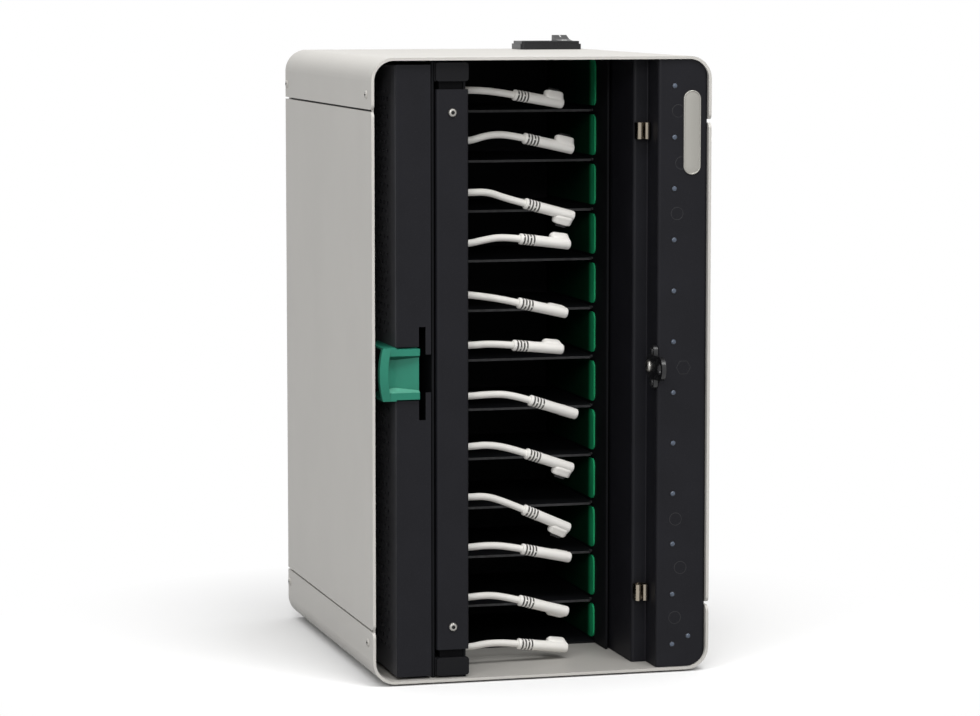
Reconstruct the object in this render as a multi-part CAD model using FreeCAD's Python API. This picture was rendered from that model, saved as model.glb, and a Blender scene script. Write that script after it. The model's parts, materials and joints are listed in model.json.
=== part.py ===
import FreeCAD
import Part

import math
import os

from FreeCAD import Rotation, Vector

# Tabletop charging tower with twelve bays, a pocket door and a switched mains inlet.
# Working coordinates in millimetres: x to the right, y backwards from the front edge of the shell,
# z up from the underside of the shell. Every piece is moved to the part's own frame when it is saved.

# Sheet shell
shell_sheet = 2.0
shell_corner = 16.0
seam_corner = 4.0
cap_leg_left = 35.5
cap_leg_right = 44.3
pan_leg_left = 36.9
pan_leg_right = 45.3
seam_gap_left = 1.4
seam_gap_right = 2.5
joggle_sheet = 1.5
joggle_lap = 12.0
joggle_front = 8.0
rear_sheet = 1.2
rear_inset = 3.0
rear_flange = 10.5
vent_slot_length = 34.0
vent_slot_height = 5.0
vent_rows = 6
vent_row_pitch = 12.0
vent_column_offset = 36.0
vent_field_offset = 100.0
foot_height = 1.5
foot_radius = 8.0
foot_inset = 26.0

# Clearances
fit_gap = 0.2
run_gap = 0.3
pivot_gap = 0.08

# Bays
bay_count = 12
bay_pitch = 36.0
bay_width = 123.9
bay_depth = 130.0
bay_front = 105.0
first_divider = 34.7
top_bay = 38.3
divider_sheet = 1.7
divider_notch_width = 2.5
divider_notch_depth = 7.0
divider_corner = 2.0
wall_sheet = 1.5
wall_end_gap = 1.0
right_wall_front = 77.0
guide_sheet = 1.2
guide_margin = 2.5
guide_front_corner = 5.0
guide_tail = 10.0

# Charger behind the bays, placed from the middle of the height
charger_space = 45.5
supply_width = 90.0
supply_depth = 36.0
supply_height = 140.0
supply_above_middle = 34.5
supply_offset = 10.0
supply_corner = 3.0
terminal_inset = 8.0
terminal_depth = 14.0
terminal_height = 12.0
usb_board_width = 100.0
usb_board_height = 200.0
usb_board_above_middle = 21.5
usb_standoff = 9.5
usb_standoff_radius = 3.0
usb_standoff_inset = 5.0
usb_rows = 6
usb_columns = [35.0, 65.0]
usb_row_margin = 10.0
usb_socket_width = 14.0
usb_socket_depth = 14.0
usb_socket_height = 7.0
header_reach = 2.0
header_width = 8.0
header_depth = 5.0
header_height = 24.0

# Pocket door
door_side_gap = 15.7
door_thickness = 25.2
door_sheet = 1.2
door_front = 4.5
door_floor_gap = 2.0
door_top_gap = 3.0
door_edge_gap = 1.5
door_wall_gap = 1.2
hinge_inset = 5.8
hinge_edge = 5.5
hinge_pin_radius = 2.5
hinge_pin_head = 4.0
hinge_pin_head_height = 0.8
hinge_pin_tail = 1.5
rail_window = 7.0
lock_slot_width = 5.0
lock_slot_height = 65.0
lock_slot_edge = 16.6
lock_notch_height = 26.5
lock_height = 216.7
rail_height = 20.0
rail_depth = 12.6
rail_sheet = 1.5
rail_centre = 25.0
rail_front = 14.0
runner_length = 30.0
runner_start = 4.0
post_width = 11.5
post_depth = 12.0
post_inset = 0.8
post_gap = 1.5
post_sheet = 1.5
post_bend = 0.5
arm_sheet = 3.0
arm_gap = 0.5
arm_margin = 5.0
strike_width = 8.0
strike_sheet = 1.5
strike_setback = 7.0

# Door handle
handle_height = 37.0
handle_lip_reach = 12.2
handle_lip_width = 6.0
handle_lip_depth = 4.5
handle_lip_bow = 2.6
handle_lip_swell = 1.7
handle_lip_corner = 2.5
handle_proud = 2.5
handle_body_depth = 9.0
handle_rib = 4.8
handle_rib_setback = 0.9
handle_slope = 3.2
handle_shallow = 2.4
handle_deep = 6.5
handle_floor = 2.0
handle_wing = 1.4
handle_wing_length = 52.0
handle_wing_straight = 26.0

# Cable duct
cover_gap = 1.1
cover_width = 23.2
cover_sheet = 1.5
cover_bend = 0.5
cover_front = 4.0
cover_return = 6.0
cover_end = 22.0
cover_screw_inset = 38.0
partition_setback = 3.0
block_inset = 3.6
block_height = 12.8
block_face = 2.2
block_corner = 2.0
block_depth = 20.0
block_tongue_depth = 9.0
block_tongue_rise = 9.0
block_tongue_root = 1.0
grommet_flange_radius = 5.0
grommet_neck_radius = 3.7
grommet_flange = 2.0
exit_depth = 44.0
exit_drop = 1.5
trunk_gap = 5.9
trunk_width = 9.0
trunk_depth = 12.0
trunk_corner = 3.0
trunk_bend = 4.0
trunk_below = 3.5
trunk_above = 6.0
trunk_feed_height = 25.0
board_lead_x = 10.0

# Indicator column
column_gap = 2.2
column_step = 10.8
column_strip = 36.3
column_sheet = 1.5
column_front = 2.0
column_recess = 24.0
column_depth = 90.0
column_return = 18.0
column_bend = 0.8
led_radius = 2.1
led_seat = 6.0
led_proud = 0.3
led_dome = 0.5
led_inset = 12.0
led_above_divider = 19.6
power_led_inset = 23.9
power_led_height = 23.8
board_gap = 4.5
board_sheet = 1.6
board_inset = 6.0
board_width = 22.0
stud_radius = 2.5
stud_inset = 15.5
badge_width = 12.7
badge_length = 59.2
badge_thick = 1.2
badge_inset = 24.7
badge_drop = 53.4

# Catches and hasp
catch_width = 9.8
catch_height = 11.5
catch_reach = 9.5
catch_sheet = 0.7
catch_bend = 1.2
catch_gap = 1.2
catch_drop = 52.6
catch_rise = 53.7
hasp_sheet = 3.0
hasp_reach = 19.0
hasp_root = 20.0
hasp_tongue = 17.0
hasp_ear_height = 31.0
hasp_ear_width = 9.0
hasp_ear_depth = 5.0
hasp_hole_radius = 4.0
hasp_hole_edge = 7.2
hasp_bolt_depth = 12.5
hasp_bolt_radius = 2.4
hasp_ear_bolt_radius = 1.4

# Fasteners
screw_front = 15.0
screw_rear = 6.0
screw_drop = 25.5
screw_rise = 27.7
shell_screw_head = 3.0
shell_screw_rise = 1.0
shell_screw_shank = 1.5
shell_screw_tail = 2.5
cover_screw_head = 3.2
cover_screw_rise = 1.7
cover_screw_shank = 1.9
bolt_tail = 1.0

# Mains inlet
inlet_right = 22.5
inlet_rear = 11.5
bezel_margin_left = 3.3
bezel_margin_right = 5.7
bezel_margin_end = 3.8
bezel_height = 4.2
bezel_step = 1.2
bezel_upper = 2.1
bezel_corner = 2.5
inlet_body_inset = 2.5
inlet_body_depth = 34.0
inlet_corner = 2.0
inlet_web = 2.6
socket_width = 24.4
socket_depth = 16.6
socket_hollow = 17.0
socket_key = 5.0
pin_spread = 7.0
pin_setback = 2.0
pin_width = 2.0
pin_depth = 4.0
pin_height = 13.0
earth_pin_height = 14.0
rocker_width = 11.4
rocker_length = 19.0
rocker_height = 3.4
rocker_dish = 1.0
rocker_drop = 3.0
rocker_tilt = 14.0
rocker_pocket = 9.0
rocker_swing_gap = 1.2
rocker_pin_sink = 2.4
rocker_pin_radius = 1.5
rocker_pin_length = 1.0

# Cords and right-angle plugs, drawn with flat sides
cord_radius = 2.5
cord_sides = 10
arc_share = 0.45
relief_length = 12.0
relief_start = 3.1
relief_radius = 3.9
relief_rings = 4
relief_groove = 0.8
plug_radius = 3.8
plug_length = 27.0
plug_sides = 12
plug_chamfer = 0.8
neck_length = 14.5
neck_width = 7.0
neck_height = 7.6
neck_corner = 2.2
tip_length = 9.0
tip_width = 2.8
tip_height = 2.0
tip_corner = 0.9

# Each route is (right, back, up) from its grommet, and each roll turns the plug's neck about its own axis:
# 0 points it up, 90 to the front, 180 down and -90 to the back.
cord_routes = [
    [(0, 0, 0), (10, 0, 0), (27, 1.5, -0.9), (43.7, 4, -3.8)],
    [(0, 0, 0), (10, 0, 0), (24, 1, 4.2), (38, 2, 4.6), (51, 3.5, 1.7)],
    [(0, 0, 0), (10, 0, 0), (24, 1, 0.4), (38, 2.5, -4.6), (52, 4, -8.4)],
    [(0, 0, 0), (10, 0, 0), (22, 0.5, 2.6), (35, 1.5, 4.3), (48, 3, 2.6)],
    [(0, 0, 0), (10, 0, 0), (23, 1, -1.9), (35, 2, -4), (47, 3.5, -6.8)],
    [(0, 0, 0), (10, 0, 0), (27, 1, 0.9), (43.1, 3, -0.9)],
    [(0, 0, 0), (10, 0, 0), (25, 1, 0.8), (41, 2, 0.2), (55.7, 4, -4.6)],
    [(0, 0, 0), (10, 0, 0), (24, 1, 0.9), (39, 2, -1.8), (53, 4, -6.7)],
    [(0, 0, 0), (10, 0, 0), (23, 0.5, 0.2), (37, 1.5, -4.6), (51, 3, -10.8)],
    [(0, 0, 0), (10, 0, 0), (24, 1, 0.7), (37, 2, -0.4), (49.8, 3.5, -3.3)],
    [(0, 0, 0), (10, 0, 0), (22, 1, 0.9), (35, 2, -0.6), (47.7, 3, -4.2)],
    [(0, 0, 0), (10, 0, 0), (23, 1, 1.9), (35, 2, 1.8), (47, 3.5, 0.1)],
]
plug_rolls = [-15, -15, 165, -40, -75, -60, -90, 170, 150, -90, -115, -25]

# Stations across the width, from the left face of the shell
half_width = (2 * shell_sheet + door_side_gap + door_thickness + door_wall_gap + wall_sheet + cover_gap
              + cover_width - cover_sheet - run_gap + bay_width + wall_sheet + column_gap + column_step
              + column_strip + fit_gap) / 2
inner_x = half_width - shell_sheet
door_x0 = -inner_x + door_side_gap
door_x1 = door_x0 + door_thickness
partition_x0 = door_x1 + door_wall_gap
partition_x1 = partition_x0 + wall_sheet
cover_x0 = partition_x1 + cover_gap
cover_x1 = cover_x0 + cover_width
bay_x0 = cover_x1 - cover_sheet - run_gap
bay_x1 = bay_x0 + bay_width
column_x0 = bay_x1 + wall_sheet + column_gap
column_x1 = column_x0 + column_step

# Stations from front to back
bay_back = bay_front + bay_depth
shell_depth = bay_back + wall_sheet + charger_space + rear_inset
rear_flange_y = shell_depth - rear_inset - rear_flange
column_step_y = column_front + column_recess

# Stations from the floor up
last_divider = first_divider + (bay_count - 2) * bay_pitch
inner_top = last_divider + top_bay
shell_height = inner_top + shell_sheet
middle_z = shell_height / 2
divider_tops = [first_divider + bay_pitch * i for i in range(bay_count - 1)]
bay_floors = [shell_sheet + wall_sheet] + divider_tops
bay_ceilings = [top - divider_sheet for top in divider_tops] + [inner_top]
led_heights = [first_divider - bay_pitch + led_above_divider + bay_pitch * i for i in range(bay_count)]
exit_heights = [first_divider + bay_pitch * (i - 0.5) - exit_drop for i in range(bay_count)]
door_z0 = shell_sheet + door_floor_gap
door_z1 = inner_top - door_top_gap
rail_heights = [shell_sheet + rail_centre, inner_top - rail_centre]
catch_heights = [catch_rise, shell_height - catch_drop]

# The door closes against the column, so its width follows the opening
hinge_x = door_x0 + hinge_inset
door_width = column_x1 - door_edge_gap - hinge_x + hinge_edge
door_back = door_front + door_width
hinge_y = door_back - hinge_edge
catch_x0 = column_x0 + run_gap
shell_screw_length = shell_sheet + joggle_sheet + shell_screw_tail
strike_y = hinge_y - (catch_x0 + catch_width / 2 - hinge_x)

# The inlet's bezel goes round the socket and the rocker
bezel_width = (bezel_margin_left + socket_width + inlet_web + rocker_width + 2 * run_gap + bezel_margin_right)
bezel_depth = rocker_length + 2 * rocker_swing_gap + 2 * bezel_margin_end
bezel_top = shell_height + bezel_height + bezel_upper
inlet_x = half_width - inlet_right - bezel_width / 2
inlet_y = shell_depth - inlet_rear - bezel_depth / 2
socket_x = inlet_x - bezel_width / 2 + bezel_margin_left + socket_width / 2
rocker_x = inlet_x + bezel_width / 2 - bezel_margin_right - run_gap - rocker_width / 2
rocker_pivot = Vector(rocker_x, inlet_y, bezel_top - rocker_pin_sink)

# The origin is under the middle of the whole part, hasp included
to_frame = Vector(0, (hasp_reach - shell_depth) / 2, foot_height)

X = Vector(1, 0, 0)
Y = Vector(0, 1, 0)
Z = Vector(0, 0, 1)


def block(x0, x1, y0, y1, z0, z1):
    return Part.makeBox(x1 - x0, y1 - y0, z1 - z0, Vector(x0, y0, z0))


def rod(radius, start, end):
    along = end - start
    return Part.makeCylinder(radius, along.Length, start, along)


def rounded_wire(corners):
    """Closed wire through (point, radius) pairs, with a tangent arc at each corner that has a radius."""
    joints = []
    for i, (point, radius) in enumerate(corners):
        before = (corners[i - 1][0] - point).normalize()
        after = (corners[(i + 1) % len(corners)][0] - point).normalize()
        if radius <= 0:
            joints.append((point, None, point))
            continue
        half_angle = before.getAngle(after) / 2
        reach = radius / math.tan(half_angle)
        bisector = (before + after).normalize()
        middle = point + bisector * (radius / math.sin(half_angle) - radius)
        joints.append((point + before * reach, middle, point + after * reach))
    edges = []
    for i, (start, middle, end) in enumerate(joints):
        if middle is not None:
            edges.append(Part.Arc(start, middle, end).toShape())
        following = joints[(i + 1) % len(joints)][0]
        if (following - end).Length > 1e-6:
            edges.append(Part.LineSegment(end, following).toShape())
    return Part.Wire(edges)


def prism(corners, direction):
    return Part.Face(rounded_wire(corners)).extrude(direction)


def rounded_plate(centre, across, up, width, height, radius, thickness):
    """Plate with four equal corners, centred on its near face and extruded along across x up."""
    corners = []
    for a, b in ((-1, -1), (1, -1), (1, 1), (-1, 1)):
        corners.append((centre + across * (a * width / 2) + up * (b * height / 2), radius))
    return prism(corners, across.cross(up) * thickness)


def folded(path, thickness, bend, normal):
    """Corners of a bent sheet whose outer face follows path, with the sheet on the right of the path."""
    runs = [(path[i + 1] - path[i]).normalize() for i in range(len(path) - 1)]
    sides = [run.cross(normal) for run in runs]
    outer = [(path[0], 0)]
    inner = [(path[0] + sides[0] * thickness, 0)]
    for i in range(1, len(path) - 1):
        offset = (sides[i - 1] + sides[i]) * (thickness / (1 + sides[i - 1].dot(sides[i])))
        turns_left = runs[i - 1].cross(runs[i]).dot(normal) > 0
        outer.append((path[i], bend if turns_left else bend + thickness))
        inner.append((path[i] + offset, bend + thickness if turns_left else bend))
    outer.append((path[-1], 0))
    inner.append((path[-1] + sides[-1] * thickness, 0))
    return outer + inner[::-1]


def polygon_ring(sides, radius, centre, across, up):
    """Corners of a regular polygon about a centre."""
    corners = []
    for i in range(sides):
        angle = 2 * math.pi * i / sides
        corners.append(centre + across * (radius * math.cos(angle)) + up * (radius * math.sin(angle)))
    return corners


def flat_face(corners):
    return Part.Face(Part.makePolygon(corners + corners[:1]))


def faceted_body(profile, sides):
    """Solid about the X axis with flat sides, through a list of (x, radius)."""
    rings = [polygon_ring(sides, radius, Vector(x, 0, 0), Y, Z) for x, radius in profile]
    faces = [flat_face(rings[0]), flat_face(rings[-1])]
    for near, far in zip(rings, rings[1:]):
        for i in range(sides):
            following = (i + 1) % sides
            faces.append(flat_face([near[i], near[following], far[following], far[i]]))
    body = Part.Solid(Part.Shell(faces))
    if body.Volume < 0:
        body.reverse()
    return body


def chamfered_plate(centre, width, height, corner, thickness):
    """Plate in the XY plane with its corners cut off, rising from its centre."""
    corners = []
    for a, b in ((-1, -1), (1, -1), (1, 1), (-1, 1)):
        along = Vector(a * (width / 2 - corner), b * height / 2, 0)
        beside = Vector(a * width / 2, b * (height / 2 - corner), 0)
        pair = [beside, along] if a * b > 0 else [along, beside]
        corners += [centre + offset for offset in pair]
    return flat_face(corners).extrude(Z * thickness)


def shell_inside(gap, y0, y1):
    """Solid that fills the shell's inside from y0 to y1, smaller by gap all round."""
    height = inner_top - shell_sheet - 2 * gap
    centre = Vector(0, y1, shell_sheet + gap + height / 2)
    corner = shell_corner - shell_sheet - gap
    return rounded_plate(centre, X, Z, 2 * (inner_x - gap), height, corner, y1 - y0)


def round_edges(shape, radius, chosen):
    return shape.makeFillet(radius, [edge for edge in shape.Edges if chosen(edge)])


def mirrored_in_height(shape):
    return shape.mirror(Vector(0, 0, shell_height / 2), Z)


def button_screw(seat, outward, head_radius, head_height, shank_radius, shank_length):
    """Low domed screw: a tapered head on the seat and a plain shank behind it."""
    head = Part.makeCone(head_radius, head_radius * 0.62, head_height, seat, outward)
    return head.fuse(rod(shank_radius, seat, seat - outward * shank_length)).removeSplitter()


def shell_screw_seats():
    seats = []
    for side in (-1, 1):
        for y in (screw_front, shell_depth - screw_rear):
            for z in (screw_rise, shell_height - screw_drop):
                seats.append(Vector(side * half_width, y, z))
    return seats


def shell_screw_holes():
    holes = []
    for seat in shell_screw_seats():
        inward = X if seat.x < 0 else X * -1
        holes.append(rod(shell_screw_shank + pivot_gap, seat - inward, seat + inward * shell_screw_length))
    return Part.makeCompound(holes)


# Shell

def make_top_cap():
    left = shell_height - cap_leg_left
    right = shell_height - cap_leg_right
    path = [Vector(-half_width, 0, left), Vector(-half_width, 0, shell_height),
            Vector(half_width, 0, shell_height), Vector(half_width, 0, right)]
    cap = prism(folded(path, shell_sheet, shell_corner - shell_sheet, Y * -1), Y * shell_depth)
    leg_ends = {-1: left, 1: right}
    cap = round_edges(cap, seam_corner, lambda edge: abs(edge.CenterOfMass.y) < 1e-3 and abs(
        edge.CenterOfMass.z - leg_ends[1 if edge.CenterOfMass.x > 0 else -1]) < 1e-3)
    return cap.cut(shell_screw_holes()).cut(inlet_body(fit_gap))


def make_bottom_pan():
    path = [Vector(half_width, 0, pan_leg_right), Vector(half_width, 0, 0),
            Vector(-half_width, 0, 0), Vector(-half_width, 0, pan_leg_left)]
    pan = prism(folded(path, shell_sheet, shell_corner - shell_sheet, Y * -1), Y * shell_depth)
    leg_ends = {-1: pan_leg_left, 1: pan_leg_right}
    pan = round_edges(pan, seam_corner, lambda edge: abs(edge.CenterOfMass.y) < 1e-3 and abs(
        edge.CenterOfMass.z - leg_ends[1 if edge.CenterOfMass.x > 0 else -1]) < 1e-3)
    return pan.cut(shell_screw_holes())


def make_side_panel(side, z0, z1, flange_front):
    """Flat panel between the legs of cap and pan, with joggled flanges behind them for the screws."""
    outer = side * half_width
    corners = [(Vector(outer, 0, z0), seam_corner), (Vector(outer, shell_depth, z0), 0),
               (Vector(outer, shell_depth, z1), 0), (Vector(outer, 0, z1), seam_corner)]
    panel = prism(corners, X * (-side * shell_sheet))
    x0, x1 = sorted((side * inner_x, side * (inner_x - joggle_sheet)))
    flange_back = rear_flange_y - fit_gap
    foot = block(x0, x1, flange_front, flange_back, shell_corner, z0 + joggle_lap)
    head = block(x0, x1, flange_front, flange_back, z1 - joggle_lap, shell_height - shell_corner)
    return panel.fuse([foot, head]).removeSplitter().cut(shell_screw_holes())


def make_left_side_panel():
    return make_side_panel(-1, pan_leg_left + seam_gap_left, shell_height - cap_leg_left - seam_gap_left,
                           joggle_front)


def make_right_side_panel():
    return make_side_panel(1, pan_leg_right + seam_gap_right, shell_height - cap_leg_right - seam_gap_right,
                           column_front + column_return + fit_gap)


def make_rear_panel():
    """Tray that closes the back, with two fields of square-ended cooling slots beside the charger."""
    back = shell_depth - rear_inset
    tray = shell_inside(fit_gap, rear_flange_y, back)
    tray = tray.cut(shell_inside(fit_gap + rear_sheet, rear_flange_y - 1, back - rear_sheet))
    slots = []
    for field in (-1, 1):
        for column in (-1, 1):
            for row in range(vent_rows):
                x = column * vent_column_offset
                z = middle_z + field * vent_field_offset + (row - (vent_rows - 1) / 2) * vent_row_pitch
                slots.append(block(x - vent_slot_length / 2, x + vent_slot_length / 2, back - rear_sheet - 1, back + 1,
                                   z - vent_slot_height / 2, z + vent_slot_height / 2))
    return tray.cut(Part.makeCompound(slots)).cut(shell_screw_holes()).cut(inlet_body(fit_gap))


def make_shell_screws():
    screws = []
    for seat in shell_screw_seats():
        outward = X * -1 if seat.x < 0 else X
        screws.append(button_screw(seat, outward, shell_screw_head, shell_screw_rise, shell_screw_shank,
                                   shell_screw_length))
    return Part.makeCompound(screws)


def make_rubber_feet():
    feet = []
    for x in (-half_width + foot_inset, half_width - foot_inset):
        for y in (foot_inset, shell_depth - foot_inset):
            feet.append(Part.makeCone(foot_radius - foot_height / 2, foot_radius, foot_height,
                                      Vector(x, y, -foot_height), Z))
    return Part.makeCompound(feet)


# Indicator column with its lamps, badge, catches and hasp

def led_places():
    places = [(column_x1 + led_inset, z) for z in led_heights]
    places.append((column_x1 + power_led_inset, power_led_height))
    return places


def make_led_column():
    """Stepped sheet column: return flange, lamp strip, door recess, catch step and side screen."""
    right = inner_x - fit_gap
    path = [Vector(right, column_front + column_return, 0), Vector(right, column_front, 0),
            Vector(column_x1, column_front, 0), Vector(column_x1, column_step_y, 0),
            Vector(column_x0, column_step_y, 0), Vector(column_x0, column_depth, 0)]
    column = prism(folded(path, column_sheet, column_bend, Z), Z * shell_height)
    column = column.common(shell_inside(fit_gap, 0, shell_depth))
    strip_back = column_front + column_sheet
    studs = []
    for i in (0, 1, 2, bay_count // 2 - 1, bay_count - 4, bay_count - 3, bay_count - 2):
        foot = Vector(column_x1 + stud_inset, strip_back, (led_heights[i] + led_heights[i + 1]) / 2)
        studs.append(flat_face(polygon_ring(6, stud_radius, foot, X, Z)).extrude(Y * board_gap))
    column = column.fuse(studs)
    holes = [rod(led_radius + pivot_gap, Vector(x, 0, z), Vector(x, strip_back + 1, z)) for x, z in led_places()]
    for y, z, radius in hasp_bolts():
        holes.append(rod(radius + pivot_gap, Vector(column_x1 - 1, y, z), Vector(column_x1 + 6, y, z)))
    return column.cut(Part.makeCompound(holes)).cut(shell_screw_holes())


def make_led_lenses():
    """Round lens noses through the strip, each on a square holder that stands on the lamp board."""
    lenses = []
    strip_back = column_front + column_sheet
    half = led_seat / 2
    for x, z in led_places():
        face = Vector(x, column_front - led_proud, z)
        nose = rod(led_radius, face, Vector(x, strip_back, z))
        tip = Part.makeCone(led_radius, led_radius - led_dome, led_dome, face, Y * -1)
        holder = block(x - half, x + half, strip_back, strip_back + board_gap, z - half, z + half)
        lenses.append(holder.fuse([nose, tip]).removeSplitter())
    return Part.makeCompound(lenses)


def make_led_board():
    front = column_front + column_sheet + board_gap
    centre_x = column_x1 + board_inset + board_width / 2
    board = block(centre_x - board_width / 2, centre_x + board_width / 2, front, front + board_sheet,
                  led_heights[0] - board_inset, led_heights[-1] + board_inset)
    return board


def make_badge_plate():
    centre = Vector(column_x1 + badge_inset, column_front, shell_height - badge_drop)
    return rounded_plate(centre, X, Z, badge_width, badge_length, badge_width / 2 - 0.01, badge_thick)


def make_spring_catches():
    """Two clips of rolled spring strip whose jaws grip a tongue on the door."""
    x0 = catch_x0
    x1 = catch_x0 + catch_width
    middle = (x0 + x1) / 2
    tip = column_step_y - catch_reach
    curl = tip + catch_reach * 0.7
    path = [Vector(middle - catch_gap / 2, curl, 0), Vector(middle - catch_gap / 2, tip, 0), Vector(x0, tip, 0),
            Vector(x0, column_step_y, 0), Vector(x1, column_step_y, 0), Vector(x1, tip, 0),
            Vector(middle + catch_gap / 2, tip, 0), Vector(middle + catch_gap / 2, curl, 0)]
    clip = prism(folded(path, catch_sheet, catch_bend, Z), Z * catch_height)
    clips = [clip.translated(Z * (z - catch_height / 2)) for z in catch_heights]
    return Part.makeCompound(clips)


def hasp_bolts():
    """Place (y, z) and radius of the large bolt and of the two small ear bolts."""
    ear = hasp_ear_height / 2 - hasp_ear_width / 2
    return [(hasp_bolt_depth, lock_height, hasp_bolt_radius),
            (hasp_ear_depth, lock_height - ear, hasp_ear_bolt_radius),
            (hasp_ear_depth, lock_height + ear, hasp_ear_bolt_radius)]


def make_hasp():
    """Flat plate on the column's side with a rounded tongue for a padlock and two screw ears."""
    x = column_x1
    length = hasp_root + hasp_reach
    middle_y = (hasp_root - hasp_reach) / 2
    tongue = rounded_plate(Vector(x, middle_y, lock_height), Z, Y, hasp_tongue, length,
                           hasp_tongue / 2 - 0.01, hasp_sheet)
    ears = rounded_plate(Vector(x, hasp_ear_depth, lock_height), Z, Y, hasp_ear_height, hasp_ear_width,
                         hasp_ear_width / 2 - 0.01, hasp_sheet)
    hasp = tongue.fuse(ears).removeSplitter()
    hole_y = -hasp_reach + hasp_hole_edge
    hasp = hasp.cut(rod(hasp_hole_radius, Vector(x - 2 * hasp_sheet, hole_y, lock_height),
                        Vector(x + 1, hole_y, lock_height)))
    for y, z, radius in hasp_bolts():
        hasp = hasp.cut(rod(radius + pivot_gap, Vector(x - 2 * hasp_sheet, y, z), Vector(x + 1, y, z)))
    return hasp


# Cable duct on the left of the bays

def cover_screw_seats():
    x = (cover_x0 + cover_x1) / 2
    return [Vector(x, cover_front, cover_screw_inset), Vector(x, cover_front, shell_height - cover_screw_inset)]


def make_button_screws():
    """Steel button-head screws of the cable cover and of the hasp."""
    screws = []
    for seat in cover_screw_seats():
        screws.append(button_screw(seat, Y * -1, cover_screw_head, cover_screw_rise, cover_screw_shank,
                                   block_tongue_depth + bolt_tail / 2))
    for y, z, radius in hasp_bolts():
        seat = Vector(column_x1 - hasp_sheet, y, z)
        screws.append(button_screw(seat, X * -1, radius * 1.9, radius * 0.8, radius,
                                   hasp_sheet + column_sheet + bolt_tail))
    return Part.makeCompound(screws)


def make_cable_cover():
    back = cover_front + cover_return
    path = [Vector(cover_x1, back, 0), Vector(cover_x1, cover_front, 0),
            Vector(cover_x0, cover_front, 0), Vector(cover_x0, back, 0)]
    cover = prism(folded(path, cover_sheet, cover_bend, Z), Z * (shell_height - 2 * cover_end))
    cover = cover.translated(Z * cover_end)
    for seat in cover_screw_seats():
        cover = cover.cut(rod(cover_screw_shank + pivot_gap, seat - Y, seat + Y * (cover_sheet + 1)))
    return cover


def make_duct_end_blocks():
    """Moulded ends of the duct: a face in line with the cover, a body between the walls, a screw tongue."""
    z0 = block_inset
    z1 = block_inset + block_height
    centre = Vector((cover_x0 + cover_x1) / 2, cover_front + block_face, (z0 + z1) / 2)
    face = rounded_plate(centre, X, Z, cover_width, block_height, block_corner, block_face)
    x0 = partition_x1 + run_gap
    x1 = bay_x0 - wall_sheet - run_gap
    inside = block(x0, x1, cover_front + block_face, cover_front + block_depth, z0, z1)
    tongue_x0 = cover_x0 + cover_sheet + cover_bend + run_gap
    tongue = block(tongue_x0, x1 - cover_bend, cover_front + cover_sheet, cover_front + block_tongue_depth,
                   z1 - block_tongue_root, cover_screw_inset + block_tongue_rise)
    lower = face.fuse([inside, tongue]).removeSplitter()
    seat = cover_screw_seats()[0]
    lower = lower.cut(rod(cover_screw_shank + pivot_gap, seat, seat + Y * (block_tongue_depth + 1)))
    return Part.makeCompound([lower, mirrored_in_height(lower)])


def wall(x0, x1, y0, y1):
    return block(x0, x1, y0, y1, shell_sheet + fit_gap, inner_top - fit_gap)


def make_pocket_partition():
    return wall(partition_x0, partition_x1, cover_front + partition_setback, rear_flange_y - wall_end_gap)


def make_bay_left_wall():
    left = wall(bay_x0 - wall_sheet, bay_x0, cover_front + cover_sheet + wall_end_gap, bay_back)
    holes = []
    for z in exit_heights:
        holes.append(rod(grommet_neck_radius + pivot_gap, Vector(bay_x0 - 5, exit_depth, z),
                         Vector(bay_x0 + 5, exit_depth, z)))
    return left.cut(Part.makeCompound(holes))


def make_cable_grommets():
    grommets = []
    outer = bay_x0 - wall_sheet
    for z in exit_heights:
        neck = rod(grommet_neck_radius, Vector(outer, exit_depth, z), Vector(bay_x0, exit_depth, z))
        bead = Part.makeCone(grommet_flange_radius, grommet_neck_radius, grommet_flange,
                             Vector(bay_x0, exit_depth, z), X)
        inner = rod(grommet_flange_radius, Vector(outer - grommet_flange, exit_depth, z),
                    Vector(outer, exit_depth, z))
        grommets.append(neck.fuse([bead, inner]).removeSplitter())
    return Part.makeCompound(grommets)


def make_wiring_trunk():
    """Bundle of charge leads inside the duct, with a stub to every grommet and a flat feed to the charger."""
    x0 = partition_x1 + trunk_gap
    x1 = x0 + trunk_width
    bottom = exit_heights[0] - trunk_below
    top = exit_heights[-1] + trunk_above
    bundle = rounded_plate(Vector((x0 + x1) / 2, exit_depth, bottom), X, Y, trunk_width, trunk_depth, trunk_corner,
                           top - bottom)
    stub_start = x1 - trunk_corner
    stub_end = bay_x0 - wall_sheet - grommet_flange
    stubs = []
    for z in exit_heights:
        section = flat_face(polygon_ring(cord_sides, cord_radius, Vector(stub_start, exit_depth, z), Y, Z))
        stubs.append(section.extrude(X * (stub_end - stub_start)))
    turn_y = bay_back + wall_sheet + usb_standoff - header_depth + trunk_width
    path = [Vector(x0, exit_depth, 0), Vector(x0, turn_y, 0), Vector(bay_x0 + board_lead_x, turn_y, 0)]
    feed = prism(folded(path, trunk_width, trunk_bend, Z), Z * trunk_feed_height)
    feed = feed.translated(Z * (middle_z - trunk_feed_height / 2))
    return bundle.fuse(stubs + [feed]).removeSplitter()


# Bay rack

def make_bay_right_wall():
    return wall(bay_x1, bay_x1 + wall_sheet, right_wall_front, bay_back)


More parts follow.
